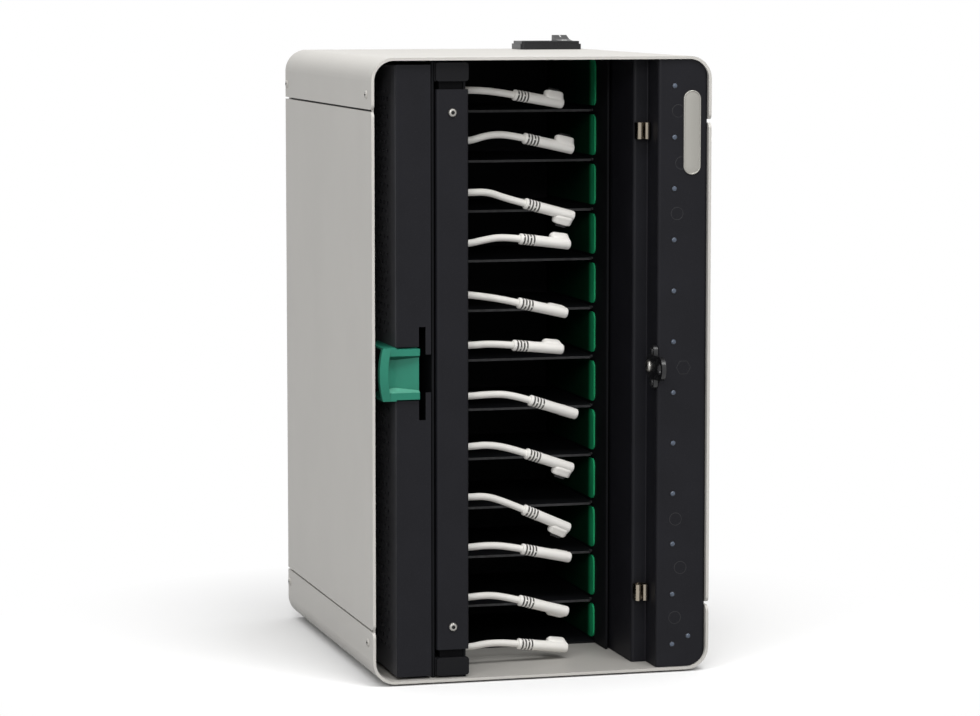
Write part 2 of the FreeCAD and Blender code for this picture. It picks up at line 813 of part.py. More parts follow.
def make_bay_dividers():
    """Shelves between the bays, each cut back at the right front corner beside the side guides."""
    notch_x = bay_x1 - divider_notch_width
    notch_y = bay_front + divider_notch_depth
    dividers = []
    for top in divider_tops:
        z = top - divider_sheet
        corners = [(Vector(bay_x0, bay_front, z), 0), (Vector(notch_x, bay_front, z), divider_corner),
                   (Vector(notch_x, notch_y, z), 0), (Vector(bay_x1, notch_y, z), 0),
                   (Vector(bay_x1, bay_back, z), 0), (Vector(bay_x0, bay_back, z), 0)]
        dividers.append(prism(corners, Z * divider_sheet))
    return Part.makeCompound(dividers)


def make_bay_side_guides():
    """Coloured liners on the right wall, one to a bay."""
    guides = []
    back = bay_back - guide_tail
    for floor, ceiling in zip(bay_floors, bay_ceilings):
        z0 = floor + guide_margin
        z1 = ceiling - guide_margin
        x = bay_x1
        corners = [(Vector(x, bay_front, z0), guide_front_corner), (Vector(x, back, z0), 0),
                   (Vector(x, back, z1), 0), (Vector(x, bay_front, z1), guide_front_corner)]
        guides.append(prism(corners, X * -guide_sheet))
    return Part.makeCompound(guides)


def make_bay_back_wall():
    """Back of the rack, folded forward along the floor to the front edge of the bays."""
    back = wall(bay_x0 - wall_sheet, bay_x1 + wall_sheet, bay_back, bay_back + wall_sheet)
    floor = block(bay_x0, bay_x1, bay_front, bay_back + wall_sheet, shell_sheet, shell_sheet + wall_sheet)
    return back.fuse(floor).removeSplitter()


# Charger behind the bays

def make_power_supply():
    """Enclosed supply on the back of the rack, with its terminal strip."""
    y0 = bay_back + wall_sheet
    x0 = (bay_x0 + bay_x1) / 2 - supply_offset - supply_width / 2
    x1 = x0 + supply_width
    z0 = middle_z + supply_above_middle
    case = block(x0, x1, y0, y0 + supply_depth, z0, z0 + supply_height)
    case = round_edges(case, supply_corner, lambda edge: edge.CenterOfMass.y > y0 + supply_depth - 1e-3)
    strip = block(x0 + terminal_inset, x1 - terminal_inset, y0, y0 + terminal_depth, z0 - terminal_height, z0)
    return case.fuse(strip).removeSplitter()


def make_usb_board():
    """Charge board on stand-offs with a socket for every lead and the header that the feed plugs into."""
    y0 = bay_back + wall_sheet + usb_standoff
    x0 = bay_x0 + board_lead_x + header_reach
    x1 = x0 + usb_board_width
    z1 = middle_z + usb_board_above_middle
    z0 = z1 - usb_board_height
    board = block(x0, x1, y0, y0 + board_sheet, z0, z1)
    fittings = []
    for x in (x0 + usb_standoff_inset, x1 - usb_standoff_inset):
        for z in (z0 + usb_standoff_inset, z1 - usb_standoff_inset):
            foot = Vector(x, bay_back + wall_sheet, z)
            fittings.append(flat_face(polygon_ring(6, usb_standoff_radius, foot, X, Z)).extrude(Y * usb_standoff))
    fittings.append(block(x0 - header_reach, x0 - header_reach + header_width, y0 - header_depth, y0,
                          middle_z - header_height / 2, middle_z + header_height / 2))
    row_pitch = (usb_board_height - 2 * usb_row_margin) / usb_rows
    face = y0 + board_sheet
    for row in range(usb_rows):
        z = z0 + usb_row_margin + row_pitch * (row + 0.5)
        for column in usb_columns:
            x = x0 + column
            fittings.append(block(x - usb_socket_width / 2, x + usb_socket_width / 2, face, face + usb_socket_depth,
                                  z - usb_socket_height / 2, z + usb_socket_height / 2))
    return board.fuse(fittings).removeSplitter()


# Mains inlet and switch on the top

def inlet_body(gap):
    """Body of the inlet below its bezel, grown by gap for the cut-out in the cap."""
    width = bezel_width - 2 * inlet_body_inset + 2 * gap
    depth = bezel_depth - 2 * inlet_body_inset + 2 * gap
    base = Vector(inlet_x, inlet_y, shell_height - inlet_body_depth)
    return rounded_plate(base, X, Y, width, depth, inlet_corner, inlet_body_depth)


def make_inlet_housing():
    """Stepped bezel and body, hollowed by the keyed socket and by the rocker's pocket with its pin bearing."""
    lower = rounded_plate(Vector(inlet_x, inlet_y, shell_height), X, Y, bezel_width, bezel_depth, bezel_corner,
                          bezel_height)
    upper = rounded_plate(Vector(inlet_x, inlet_y, shell_height + bezel_height), X, Y,
                          bezel_width - 2 * bezel_step, bezel_depth - 2 * bezel_step, inlet_corner, bezel_upper)
    housing = inlet_body(0).fuse([lower, upper]).removeSplitter()
    floor = bezel_top - socket_hollow
    half_w = socket_width / 2
    half_d = socket_depth / 2
    corners = []
    for dx, dy in ((-half_w, -half_d), (half_w, -half_d), (half_w, half_d - socket_key),
                   (half_w - socket_key, half_d), (socket_key - half_w, half_d), (-half_w, half_d - socket_key)):
        corners.append(Vector(socket_x + dx, inlet_y + dy, floor))
    socket = flat_face(corners).extrude(Z * (socket_hollow + 1))
    pocket_x = rocker_width / 2 + run_gap
    pocket_y = rocker_length / 2 + rocker_swing_gap
    pocket = block(rocker_x - pocket_x, rocker_x + pocket_x, inlet_y - pocket_y, inlet_y + pocket_y,
                   bezel_top - rocker_pocket, bezel_top + 1)
    reach = Vector(pocket_x + rocker_pin_length, 0, 0)
    bearing = rod(rocker_pin_radius + pivot_gap, rocker_pivot - reach, rocker_pivot + reach)
    return housing.cut(Part.makeCompound([socket, pocket])).cut(bearing)


def make_inlet_pins():
    """Two line pins and the longer earth pin between them, standing on the socket's floor."""
    floor = bezel_top - socket_hollow
    pins = []
    for dx, dy, height in ((-pin_spread, -pin_setback, pin_height), (pin_spread, -pin_setback, pin_height),
                           (0, pin_setback, earth_pin_height)):
        x = socket_x + dx
        y = inlet_y + dy
        pins.append(block(x - pin_width / 2, x + pin_width / 2, y - pin_depth / 2, y + pin_depth / 2,
                          floor, floor + height))
    return Part.makeCompound(pins)


def make_rocker():
    """Rocker with two raised ends, drawn level and then tipped to its off stop with the rear end up."""
    half_length = rocker_length / 2
    top = rocker_height + rocker_drop / 2
    x = rocker_x - rocker_width / 2
    corners = []
    for dy, dz, radius in ((-half_length, top, 0.8), (0, top - rocker_dish, 6.0), (half_length, top, 0.8),
                           (half_length - 0.8, -0.5, 0), (half_length - 3.0, -rocker_drop, 0),
                           (3.0 - half_length, -rocker_drop, 0), (0.8 - half_length, -0.5, 0)):
        corners.append((Vector(x, rocker_pivot.y + dy, rocker_pivot.z + dz), radius))
    rocker = prism(corners, X * rocker_width)
    reach = Vector(rocker_width / 2 + rocker_pin_length, 0, 0)
    rocker = rocker.fuse(rod(rocker_pin_radius, rocker_pivot - reach, rocker_pivot + reach)).removeSplitter()
    return rocker.rotated(rocker_pivot, X, rocker_tilt)


# Pocket door, stowed in the left side of the cabinet

def make_slide_rails():
    """Two channels on the partition that carry the runners of the door's carriage."""
    rails = []
    for centre in rail_heights:
        x_open = partition_x0 - rail_depth
        z0 = centre - rail_height / 2
        z1 = centre + rail_height / 2
        path = [Vector(x_open, rail_front, z1), Vector(partition_x0, rail_front, z1),
                Vector(partition_x0, rail_front, z0), Vector(x_open, rail_front, z0)]
        rails.append(prism(folded(path, rail_sheet, 0.5, Y * -1), Y * (rear_flange_y - 2.0 - rail_front)))
    return Part.makeCompound(rails)


def door_hinge_pin_hole(z):
    return rod(hinge_pin_radius + pivot_gap, Vector(hinge_x, hinge_y, z - 6), Vector(hinge_x, hinge_y, z + 6))


def handle_envelope(gap):
    """Space that the handle's body takes out of the door's front edge."""
    z0 = lock_height - handle_height / 2 - gap
    z1 = lock_height + handle_height / 2 + gap
    return block(door_x0 - 1.0, door_x0 + lock_slot_edge + gap, door_front - 1.0,
                 door_front + handle_body_depth + gap, z0, z1)


def make_door_leaf():
    """Folded pan, open towards the bays, with the lock slot and handle cut-out in its free edge."""
    pan = block(door_x0, door_x1, door_front, door_back, door_z0, door_z1)
    pan = round_edges(pan, 1.5, lambda edge: abs(edge.CenterOfMass.x - door_x0) < 1e-3)
    pan = pan.cut(block(door_x0 + door_sheet, door_x1 + 1, door_front + door_sheet, door_back - door_sheet,
                        door_z0 + door_sheet, door_z1 - door_sheet))
    window = rail_height / 2 + rail_window
    pan = pan.cut(block(door_x0 + door_sheet, door_x1 + 1, door_back - 2 * door_sheet, door_back + 1,
                        door_z0 + door_sheet, rail_heights[0] + window))
    pan = pan.cut(block(door_x0 + door_sheet, door_x1 + 1, door_back - 2 * door_sheet, door_back + 1,
                        rail_heights[1] - window, door_z1 - door_sheet))
    slot_x0 = door_x0 + lock_slot_edge
    slot_x1 = slot_x0 + lock_slot_width
    pan = pan.cut(block(slot_x0, slot_x1, door_front - 1, door_front + 2 * door_sheet,
                        lock_height - lock_slot_height / 2, lock_height + lock_slot_height / 2))
    pan = pan.cut(block(slot_x0, door_x1 + 1, door_front - 1, door_front + 2 * door_sheet,
                        lock_height - lock_notch_height / 2, lock_height + lock_notch_height / 2))
    pan = pan.cut(handle_envelope(fit_gap))
    return pan.cut(door_hinge_pin_hole(door_z0)).cut(door_hinge_pin_hole(door_z1))


def make_door_handle():
    """Moulded pull on the door's edge: a bowed lip, two ribs, a hollow that deepens to the lip and two wings."""
    z0 = lock_height - handle_height / 2
    z1 = lock_height + handle_height / 2
    rib_z0 = z0 + handle_rib_setback
    rib_z1 = z1 - handle_rib_setback
    front = door_front - handle_proud
    back = door_front + handle_body_depth
    right = door_x0 + lock_slot_edge
    lip_left = door_x0 - handle_lip_reach
    lip_right = lip_left + handle_lip_width
    lip_back = front + handle_lip_depth
    deep = front + handle_deep
    body = prism([(Vector(right, front, rib_z0), 0), (Vector(right, back, rib_z0), 0),
                  (Vector(door_x0, back, rib_z0), 0), (Vector(door_x0, deep + handle_floor, rib_z0), 0),
                  (Vector(lip_right, deep + handle_floor, rib_z0), handle_floor),
                  (Vector(lip_left + handle_lip_bow, lip_back, rib_z0), 0),
                  (Vector(lip_left + handle_lip_bow, front, rib_z0), 0)], Z * (rib_z1 - rib_z0))
    hollow = prism([(Vector(lip_right, front - 1, z0), 0), (Vector(right + 1, front - 1, z0), 0),
                    (Vector(right + 1, front + handle_shallow, z0), 0),
                    (Vector(door_x0, deep, z0), handle_lip_width), (Vector(lip_right, lip_back, z0), 0)],
                   Z * handle_height)
    sill = rib_z0 + handle_rib
    head = rib_z1 - handle_rib
    sloped = prism([(Vector(lip_right, front - 1, sill), 0), (Vector(lip_right, front, sill), 0),
                    (Vector(lip_right, deep, sill + handle_slope), 0),
                    (Vector(lip_right, deep, head - handle_slope), 0),
                    (Vector(lip_right, front, head), 0), (Vector(lip_right, front - 1, head), 0)],
                   X * (right + 1 - lip_right))
    body = body.cut(hollow.common(sloped))
    wings = []
    for z in (z0, z1 - handle_wing):
        wings.append(prism([(Vector(lip_left + handle_lip_bow, front, z), 0), (Vector(door_x0, front, z), 0),
                            (Vector(door_x0, lip_back + handle_wing_length, z), 0),
                            (Vector(lip_left + handle_lip_bow, lip_back + handle_wing_straight, z),
                             handle_wing_straight)], Z * handle_wing))
    return body.fuse(wings + [handle_lip(lip_left, front, lip_back, z0, z1)]).removeSplitter()


def handle_lip(left, front, back, z0, z1):
    """Upright bar of the pull, bowed to the left and swelling forwards at its middle."""
    crown = front - handle_lip_swell
    low = Vector(left + handle_lip_bow, crown, z0)
    high = Vector(left + handle_lip_bow, crown, z1)
    across = X * handle_lip_width
    near = Part.Arc(low, Vector(left, crown, lock_height), high).toShape()
    far = Part.Arc(low + across, Vector(left + handle_lip_width, crown, lock_height), high + across).toShape()
    ends = [Part.LineSegment(low, low + across).toShape(), Part.LineSegment(high, high + across).toShape()]
    bar = Part.Face(Part.Wire(Part.sortEdges([near, far] + ends)[0])).extrude(Y * (back - crown))
    bar = round_edges(bar, handle_lip_corner, lambda edge: len(edge.Vertexes) == 2 and abs(
        edge.tangentAt(edge.FirstParameter).y) > 0.99 and edge.CenterOfMass.x < left + handle_lip_bow + 1e-3)
    rise = handle_height / 2
    radius = (rise ** 2 + handle_lip_swell ** 2) / (2 * handle_lip_swell)
    hub = Vector(left - 1, crown + radius, lock_height)
    return bar.common(Part.makeCylinder(radius, handle_lip_reach, hub, X))


def make_door_strikes():
    """Tongues inside the leaf that the spring catches grip when the door is shut."""
    strikes = []
    x0 = door_x0 + door_sheet
    for z in catch_heights:
        strikes.append(block(x0, door_x1 - strike_setback, strike_y - strike_sheet / 2, strike_y + strike_sheet / 2,
                             z - strike_width / 2, z + strike_width / 2))
    return Part.makeCompound(strikes)


def make_door_carriage():
    """Channel post behind the leaf with a hinge arm reaching under each of the leaf's end flanges."""
    x0 = door_x0 + post_inset
    x1 = x0 + post_width
    y0 = door_back + post_gap
    y1 = y0 + post_depth
    path = [Vector(x0, y1, 0), Vector(x0, y0, 0), Vector(x1, y0, 0), Vector(x1, y1, 0)]
    z0 = door_z0 + door_sheet + arm_gap
    z1 = door_z1 - door_sheet - arm_gap
    post = prism(folded(path, post_sheet, post_bend, Z * -1), Z * (z1 - z0)).translated(Z * z0)
    arm_y0 = hinge_y - arm_margin
    arm_y1 = y1 - post_sheet
    arms = []
    for z in (z0, z1 - arm_sheet):
        centre = Vector((x0 + x1) / 2, (arm_y0 + arm_y1) / 2, z)
        arms.append(rounded_plate(centre, X, Y, post_width - post_sheet, arm_y1 - arm_y0, hinge_pin_radius,
                                  arm_sheet))
    carriage = post.fuse(arms).removeSplitter()
    return carriage.cut(door_hinge_pin_hole(door_z0)).cut(door_hinge_pin_hole(door_z1))


def hinge_pin(seat, inward):
    length = door_sheet + arm_gap + arm_sheet + hinge_pin_tail
    head = rod(hinge_pin_head, seat - inward * hinge_pin_head_height, seat)
    return head.fuse(rod(hinge_pin_radius, seat, seat + inward * length)).removeSplitter()


def make_door_hinge_pins():
    return Part.makeCompound([hinge_pin(Vector(hinge_x, hinge_y, door_z0), Z),
                              hinge_pin(Vector(hinge_x, hinge_y, door_z1), Z * -1)])


def make_door_runners():
    """Nylon shoes on the carriage post that slide in the rails."""
    x0 = door_x0 + post_inset + post_width
    x1 = partition_x0 - rail_sheet - run_gap
    y0 = door_back + post_gap + runner_start
    half_height = rail_height / 2 - rail_sheet - run_gap
    runners = []
    for centre in rail_heights:
        middle = Vector((x0 + x1) / 2, y0 + runner_length / 2, centre - half_height)
        runners.append(rounded_plate(middle, X, Y, x1 - x0, runner_length, 0, 2 * half_height))
    return Part.makeCompound(runners)


# Charge cords and plugs

def cord_points(index):
    """Route of one cord; bay 1 is the top one."""
    start = Vector(bay_x0 + grommet_flange, exit_depth, exit_heights[bay_count - 1 - index])
    return [start + Vector(*step) for step in cord_routes[index]]


def cord_path(points):
    """Straight runs joined by the largest arcs that the runs allow, with their radii and total length."""
    edges = []
    radii = []
    start = points[0]
    for i in range(1, len(points) - 1):
        before = (points[i - 1] - points[i])
        after = (points[i + 1] - points[i])
        reach = arc_share * min(before.Length, after.Length)
        before.normalize()
        after.normalize()
        half_angle = before.getAngle(after) / 2
        radius = reach * math.tan(half_angle)
        bisector = (before + after).normalize()
        middle = points[i] + bisector * (radius / math.sin(half_angle) - radius)
        arc_start = points[i] + before * reach
        arc_end = points[i] + after * reach
        edges.append(Part.LineSegment(start, arc_start).toShape())
        edges.append(Part.Arc(arc_start, middle, arc_end).toShape())
        radii.append(radius)
        start = arc_end
    edges.append(Part.LineSegment(start, points[-1]).toShape())
    return Part.Wire(edges), radii


def make_cord(index):
    """Tube with flat sides along the route; every route leaves its grommet along X."""
    points = cord_points(index)
    path, radii = cord_path(points)
    section = flat_face(polygon_ring(cord_sides, cord_radius, points[0], Y, Z))
    tube = path.makePipeShell([section.OuterWire], True, False)
    ratio = tube.Volume / (section.Area * path.Length)
    print("cord", index + 1, "length", round(path.Length, 1), "radii", [round(r, 1) for r in radii],
          "volume ratio", round(ratio, 4))
    return tube


def make_plug(index):
    """Right-angle plug: ringed strain relief, round body, side neck and contact tip."""
    profile = []
    ring_pitch = relief_length / relief_rings
    for i in range(relief_rings):
        radius = relief_start + (relief_radius - relief_start) * i / (relief_rings - 1)
        start = i * ring_pitch
        profile += [(start, radius), (start + 0.6 * ring_pitch, radius),
                    (start + 0.7 * ring_pitch, radius - relief_groove),
                    (start + 0.9 * ring_pitch, radius - relief_groove)]
    end = relief_length + plug_length
    profile += [(relief_length, plug_radius), (end - plug_chamfer, plug_radius), (end, plug_radius - plug_chamfer)]
    body = faceted_body(profile, plug_sides)
    neck_x = end - plug_chamfer / 2 - neck_length / 2
    neck = chamfered_plate(Vector(neck_x, 0, 0), neck_length, neck_width, neck_corner, neck_height)
    tip = chamfered_plate(Vector(neck_x, 0, neck_height), tip_length, tip_width, tip_corner, tip_height)
    plug = body.fuse([neck, tip]).removeSplitter()
    points = cord_points(index)
    along = points[-1] - points[-2]
    plug = plug.rotated(Vector(0, 0, 0), X, plug_rolls[index])
    pitch = math.degrees(math.atan2(along.z, math.hypot(along.x, along.y)))
    heading = math.degrees(math.atan2(along.y, along.x))
    plug = plug.rotated(Vector(0, 0, 0), Y, -pitch)
    plug = plug.rotated(Vector(0, 0, 0), Z, heading)
    return plug.translated(points[-1])


def save(name, shape):
    shape.translated(to_frame).exportStep("parts/" + name + ".step")


pieces = {
    "top_cap": make_top_cap,
    "bottom_pan": make_bottom_pan,
    "left_side_panel": make_left_side_panel,
    "right_side_panel": make_right_side_panel,
    "rear_panel": make_rear_panel,
    "shell_screws": make_shell_screws,
    "rubber_feet": make_rubber_feet,
    "led_column": make_led_column,
    "led_lenses": make_led_lenses,
    "led_board": make_led_board,
    "badge_plate": make_badge_plate,
    "spring_catches": make_spring_catches,
    "hasp": make_hasp,
    "button_screws": make_button_screws,
    "cable_cover": make_cable_cover,
    "duct_end_blocks": make_duct_end_blocks,
    "pocket_partition": make_pocket_partition,
    "bay_left_wall": make_bay_left_wall,
    "cable_grommets": make_cable_grommets,
    "wiring_trunk": make_wiring_trunk,
    "bay_right_wall": make_bay_right_wall,
    "bay_dividers": make_bay_dividers,
    "bay_side_guides": make_bay_side_guides,
    "bay_back_wall": make_bay_back_wall,
    "power_supply": make_power_supply,
    "usb_board": make_usb_board,
    "inlet_housing": make_inlet_housing,
    "inlet_pins": make_inlet_pins,
    "rocker": make_rocker,
    "slide_rails": make_slide_rails,
    "door_leaf": make_door_leaf,
    "door_handle": make_door_handle,
    "door_strikes": make_door_strikes,
    "door_carriage": make_door_carriage,
    "door_hinge_pins": make_door_hinge_pins,
    "door_runners": make_door_runners,
}

os.makedirs("parts", exist_ok=True)
for piece_name, make_piece in pieces.items():
    save(piece_name, make_piece())
for bay in range(bay_count):
    save("cord_%02d" % (bay + 1), make_cord(bay))
    save("plug_%02d" % (bay + 1), make_plug(bay))
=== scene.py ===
"""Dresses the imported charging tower: materials for every node, detailed cords, plugs, screws and door."""

import json
import math

import bmesh
import bpy
from mathutils import Matrix, Vector


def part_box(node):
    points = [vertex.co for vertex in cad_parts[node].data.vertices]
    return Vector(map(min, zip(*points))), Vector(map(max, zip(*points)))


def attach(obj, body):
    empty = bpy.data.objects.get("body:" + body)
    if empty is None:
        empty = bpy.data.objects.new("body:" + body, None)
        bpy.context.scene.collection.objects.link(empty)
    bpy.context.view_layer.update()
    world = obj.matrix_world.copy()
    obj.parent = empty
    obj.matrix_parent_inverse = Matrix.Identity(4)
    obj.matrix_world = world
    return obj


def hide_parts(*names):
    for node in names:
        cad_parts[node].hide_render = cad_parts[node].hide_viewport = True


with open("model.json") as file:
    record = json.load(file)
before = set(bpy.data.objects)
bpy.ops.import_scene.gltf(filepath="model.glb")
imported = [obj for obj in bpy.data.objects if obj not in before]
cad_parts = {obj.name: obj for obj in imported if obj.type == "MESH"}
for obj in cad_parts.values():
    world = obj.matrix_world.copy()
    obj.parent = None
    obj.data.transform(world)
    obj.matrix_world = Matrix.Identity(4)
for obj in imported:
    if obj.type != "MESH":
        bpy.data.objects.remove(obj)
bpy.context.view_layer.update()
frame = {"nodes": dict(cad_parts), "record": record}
nodes = frame["nodes"]
MM = 0.001
WHITE = (1, 1, 1, 1)

# Camera that took the photograph, in the part's frame
CAMERA_PLACE = Vector((-683.3, -2523.9, 491.6)) * MM
CAMERA_YAW = 0.263423
CAMERA_PITCH = 0.105931
CAMERA_LENS = 131.72
CAMERA_SENSOR = 36.0
CAMERA_RANGE = 200.0

# Places in millimetres in the part's frame: y is negative at the front and z starts at the feet
SHELL_SIDE = 122.5
SHELL_SCREW_Y = (-118.0, 146.0)
SHELL_SCREW_Z = (29.2, 411.0)
COVER_SCREW = (-64.2, -129.0)
COVER_SCREW_Z = (39.5, 398.5)
HASP_FACE = 81.0
STRIP_FACE = -131.0
LAMP_X = 96.0
LAMP_LOWEST = 19.8
POWER_LAMP = (107.9, 25.3)
BADGE_CENTRE = (108.7, 383.1)
STUD_RINGS = [(98.6, 398.2), (101.2, 361.7), (98.1, 326.3), (98.1, 109.6), (101.8, 74.7), (97.9, 38.9)]
STUD_HEXAGON = (103.4, 217.4)
GUIDE_FRONT = -28.0
# Depths behind the liners' front edge between which their green is darkened as painted shade
GUIDE_SHADE_START = 6.0
GUIDE_SHADE_END = 14.0
ROCKER_PIVOT = Vector((88.3, 126.0, 440.4))
ROCKER_REST = math.radians(14)

# The hasp's bolts as (y, z, shank radius)
HASP_BOLTS = [(-120.5, 218.2, 2.4), (-128.0, 207.2, 1.4), (-128.0, 229.2, 1.4)]

# Charge cords: where they leave the grommets, their routes as (right, back, up) and the turn of each plug
CORD_RADIUS = 2.5 * MM
EXIT_DEPTH = -89.0
EXIT_TOP = 412.7
BAY_PITCH = 36.0
CORD_ROUTES = [
    [(0, 0, 0), (10, 0, 0), (27, 1.5, -0.9), (43.7, 4, -3.8)],
    [(0, 0, 0), (10, 0, 0), (24, 1, 4.2), (38, 2, 4.6), (51, 3.5, 1.7)],
    [(0, 0, 0), (10, 0, 0), (24, 1, 0.4), (38, 2.5, -4.6), (52, 4, -8.4)],
    [(0, 0, 0), (10, 0, 0), (22, 0.5, 2.6), (35, 1.5, 4.3), (48, 3, 2.6)],
    [(0, 0, 0), (10, 0, 0), (23, 1, -1.9), (35, 2, -4), (47, 3.5, -6.8)],
    [(0, 0, 0), (10, 0, 0), (27, 1, 0.9), (43.1, 3, -0.9)],
    [(0, 0, 0), (10, 0, 0), (25, 1, 0.8), (41, 2, 0.2), (55.7, 4, -4.6)],
    [(0, 0, 0), (10, 0, 0), (24, 1, 0.9), (39, 2, -1.8), (53, 4, -6.7)],
    [(0, 0, 0), (10, 0, 0), (23, 0.5, 0.2), (37, 1.5, -4.6), (51, 3, -10.8)],
    [(0, 0, 0), (10, 0, 0), (24, 1, 0.7), (37, 2, -0.4), (49.8, 3.5, -3.3)],
    [(0, 0, 0), (10, 0, 0), (22, 1, 0.9), (35, 2, -0.6), (47.7, 3, -4.2)],
    [(0, 0, 0), (10, 0, 0), (23, 1, 1.9), (35, 2, 1.8), (47, 3.5, 0.1)],
]
PLUG_ROLLS = [-15, -15, 192, -40, -75, -60, -90, 190, 195, -90, -115, -55]
BAYS = len(CORD_ROUTES)


# Materials

MOTTLE_RANGE = (0.3, 0.7)
MOTTLE_DETAIL = 4.0
GRAIN_DETAIL = 2.0
FLECK_RANGE = (0.62, 0.75)
FLECK_COLOUR = (0.35, 0.35, 0.36, 1)
ROUGHNESS_SPREAD = 0.06
ROUGHNESS_LEAST = 0.02
BUMP_STRENGTH = 0.6

finishes = {}


def map_range(tree, value, source, target):
    """Output that carries a value from one range to another."""
    mapped = tree.nodes.new("ShaderNodeMapRange")
    limits = ("From Min", "From Max", "To Min", "To Max")
    for limit, number in zip(limits, (*source, *target)):
        mapped.inputs[limit].default_value = number
    tree.links.new(value, mapped.inputs["Value"])
    return mapped.outputs["Result"]


def coordinate(tree, space, axis):
    """Output that gives one coordinate of the shaded point."""
    place = tree.nodes.new("ShaderNodeTexCoord")
    parts = tree.nodes.new("ShaderNodeSeparateXYZ")
    tree.links.new(place.outputs[space], parts.inputs["Vector"])
    return parts.outputs[axis]


def noise(tree, place, scale, detail):
    """Output of a noise over the given coordinates."""
    texture = tree.nodes.new("ShaderNodeTexNoise")
    texture.inputs["Scale"].default_value = scale
    texture.inputs["Detail"].default_value = detail
    tree.links.new(place, texture.inputs["Vector"])
    return texture.outputs["Fac"]


def surface(name, colour, roughness, metallic=0.0, mottle=0.05, mottle_scale=40.0, grain=0.05,
            grain_scale=1500.0, stretch=(1, 1, 1), specular=0.5, fleck=0.0):
    """Principled surface whose colour, roughness and bump vary with noise.

    The grain is the height of the bump in millimetres, and fleck mixes in pale specks.
    """
    material = bpy.data.materials.new(name)
    material.use_nodes = True
    tree = material.node_tree
    shader = tree.nodes["Principled BSDF"]
    shader.inputs["Metallic"].default_value = metallic
    shader.inputs["Specular IOR Level"].default_value = specular
    place = tree.nodes.new("ShaderNodeTexCoord")
    mapping = tree.nodes.new("ShaderNodeMapping")
    mapping.inputs["Scale"].default_value = stretch
    tree.links.new(place.outputs["Object"], mapping.inputs["Vector"])
    clouds = noise(tree, mapping.outputs["Vector"], mottle_scale, MOTTLE_DETAIL)
    speckle = noise(tree, mapping.outputs["Vector"], grain_scale, GRAIN_DETAIL)
    tint = tree.nodes.new("ShaderNodeValToRGB")
    shares = (1 - mottle, 1 + mottle)
    for stop, position, share in zip(tint.color_ramp.elements, MOTTLE_RANGE, shares):
        stop.position = position
        stop.color = [min(1, channel * share) for channel in colour] + [1]
    tree.links.new(clouds, tint.inputs["Fac"])
    shown = tint.outputs["Color"]
    if fleck:
        blend = tree.nodes.new("ShaderNodeMix")
        blend.data_type = "RGBA"
        blend.inputs["B"].default_value = FLECK_COLOUR
        tree.links.new(map_range(tree, speckle, FLECK_RANGE, (0, fleck)), blend.inputs["Factor"])
        tree.links.new(shown, blend.inputs["A"])
        shown = blend.outputs["Result"]
    tree.links.new(shown, shader.inputs["Base Color"])
    least = max(ROUGHNESS_LEAST, roughness - ROUGHNESS_SPREAD)
    most = min(1.0, roughness + ROUGHNESS_SPREAD)
    tree.links.new(map_range(tree, speckle, (0, 1), (least, most)), shader.inputs["Roughness"])
    bump = tree.nodes.new("ShaderNodeBump")
    bump.inputs["Distance"].default_value = grain * MM
    bump.inputs["Strength"].default_value = BUMP_STRENGTH
    tree.links.new(speckle, bump.inputs["Height"])
    tree.links.new(bump.outputs["Normal"], shader.inputs["Normal"])
    finishes[name] = material
    return material


shell_paint = surface("shell_paint", (0.598, 0.580, 0.545), 0.45, mottle=0.02, mottle_scale=14,
                      grain_scale=1400, specular=0.35)
# The shell's grey darkened as painted shade for the inside of the pan
pan_painted_shade = surface("pan_painted_shade", (0.430, 0.416, 0.390), 0.45, mottle=0.03, mottle_scale=14,
                     grain_scale=1400, specular=0.35)
surface("black_paint", (0.0086, 0.0086, 0.0112), 0.5, mottle=0.12, mottle_scale=30, grain_scale=1700,
        specular=0.15, fleck=0.03)
# Paler charcoal on the door's outer face, painted light in its dark pocket
door_face_painted_light = surface("door_face_painted_light", (0.060, 0.060, 0.066), 0.5, mottle=0.12, mottle_scale=30,
                    grain_scale=1700, specular=0.15, fleck=0.02)
inner_black = surface("inner_black", (0.0065, 0.0068, 0.0080), 0.6, mottle=0.15, mottle_scale=25,
                      grain_scale=1700, specular=0.10, fleck=0.01)
# Near-black that paints shade on the tongues of the duct's ends
painted_shade_black = surface("painted_shade_black", (0.0020, 0.0020, 0.0024), 0.7, mottle=0.2, grain=0.04, specular=0.05)
# Pale edge finishes: rubbed or bare edges whose paleness is partly a painted highlight
worn_edge_and_highlight = surface("worn_edge_and_highlight", (0.044, 0.044, 0.046), 0.45, mottle=0.3, mottle_scale=300, specular=0.25)
bare_edge_and_highlight = surface("bare_edge_and_highlight", (0.13, 0.127, 0.122), 0.45, mottle=0.4, mottle_scale=300, specular=0.25)
# The stud outlines are paler than the strip's paint, a painted highlight on the welded rings
stud_mark = surface("stud_mark", (0.022, 0.022, 0.024), 0.5, mottle=0.4, mottle_scale=200, grain=0.04,
                    specular=0.3)
hasp_black = surface("hasp_black", (0.008, 0.008, 0.009), 0.28, mottle=0.12, grain=0.02)
surface("black_plastic", (0.0070, 0.0070, 0.0082), 0.5, mottle=0.1, grain=0.04, grain_scale=2500,
        specular=0.12)
black_gloss = surface("black_gloss", (0.012, 0.012, 0.013), 0.3, mottle=0.1, grain=0.01, grain_scale=1200,
                      specular=0.3)
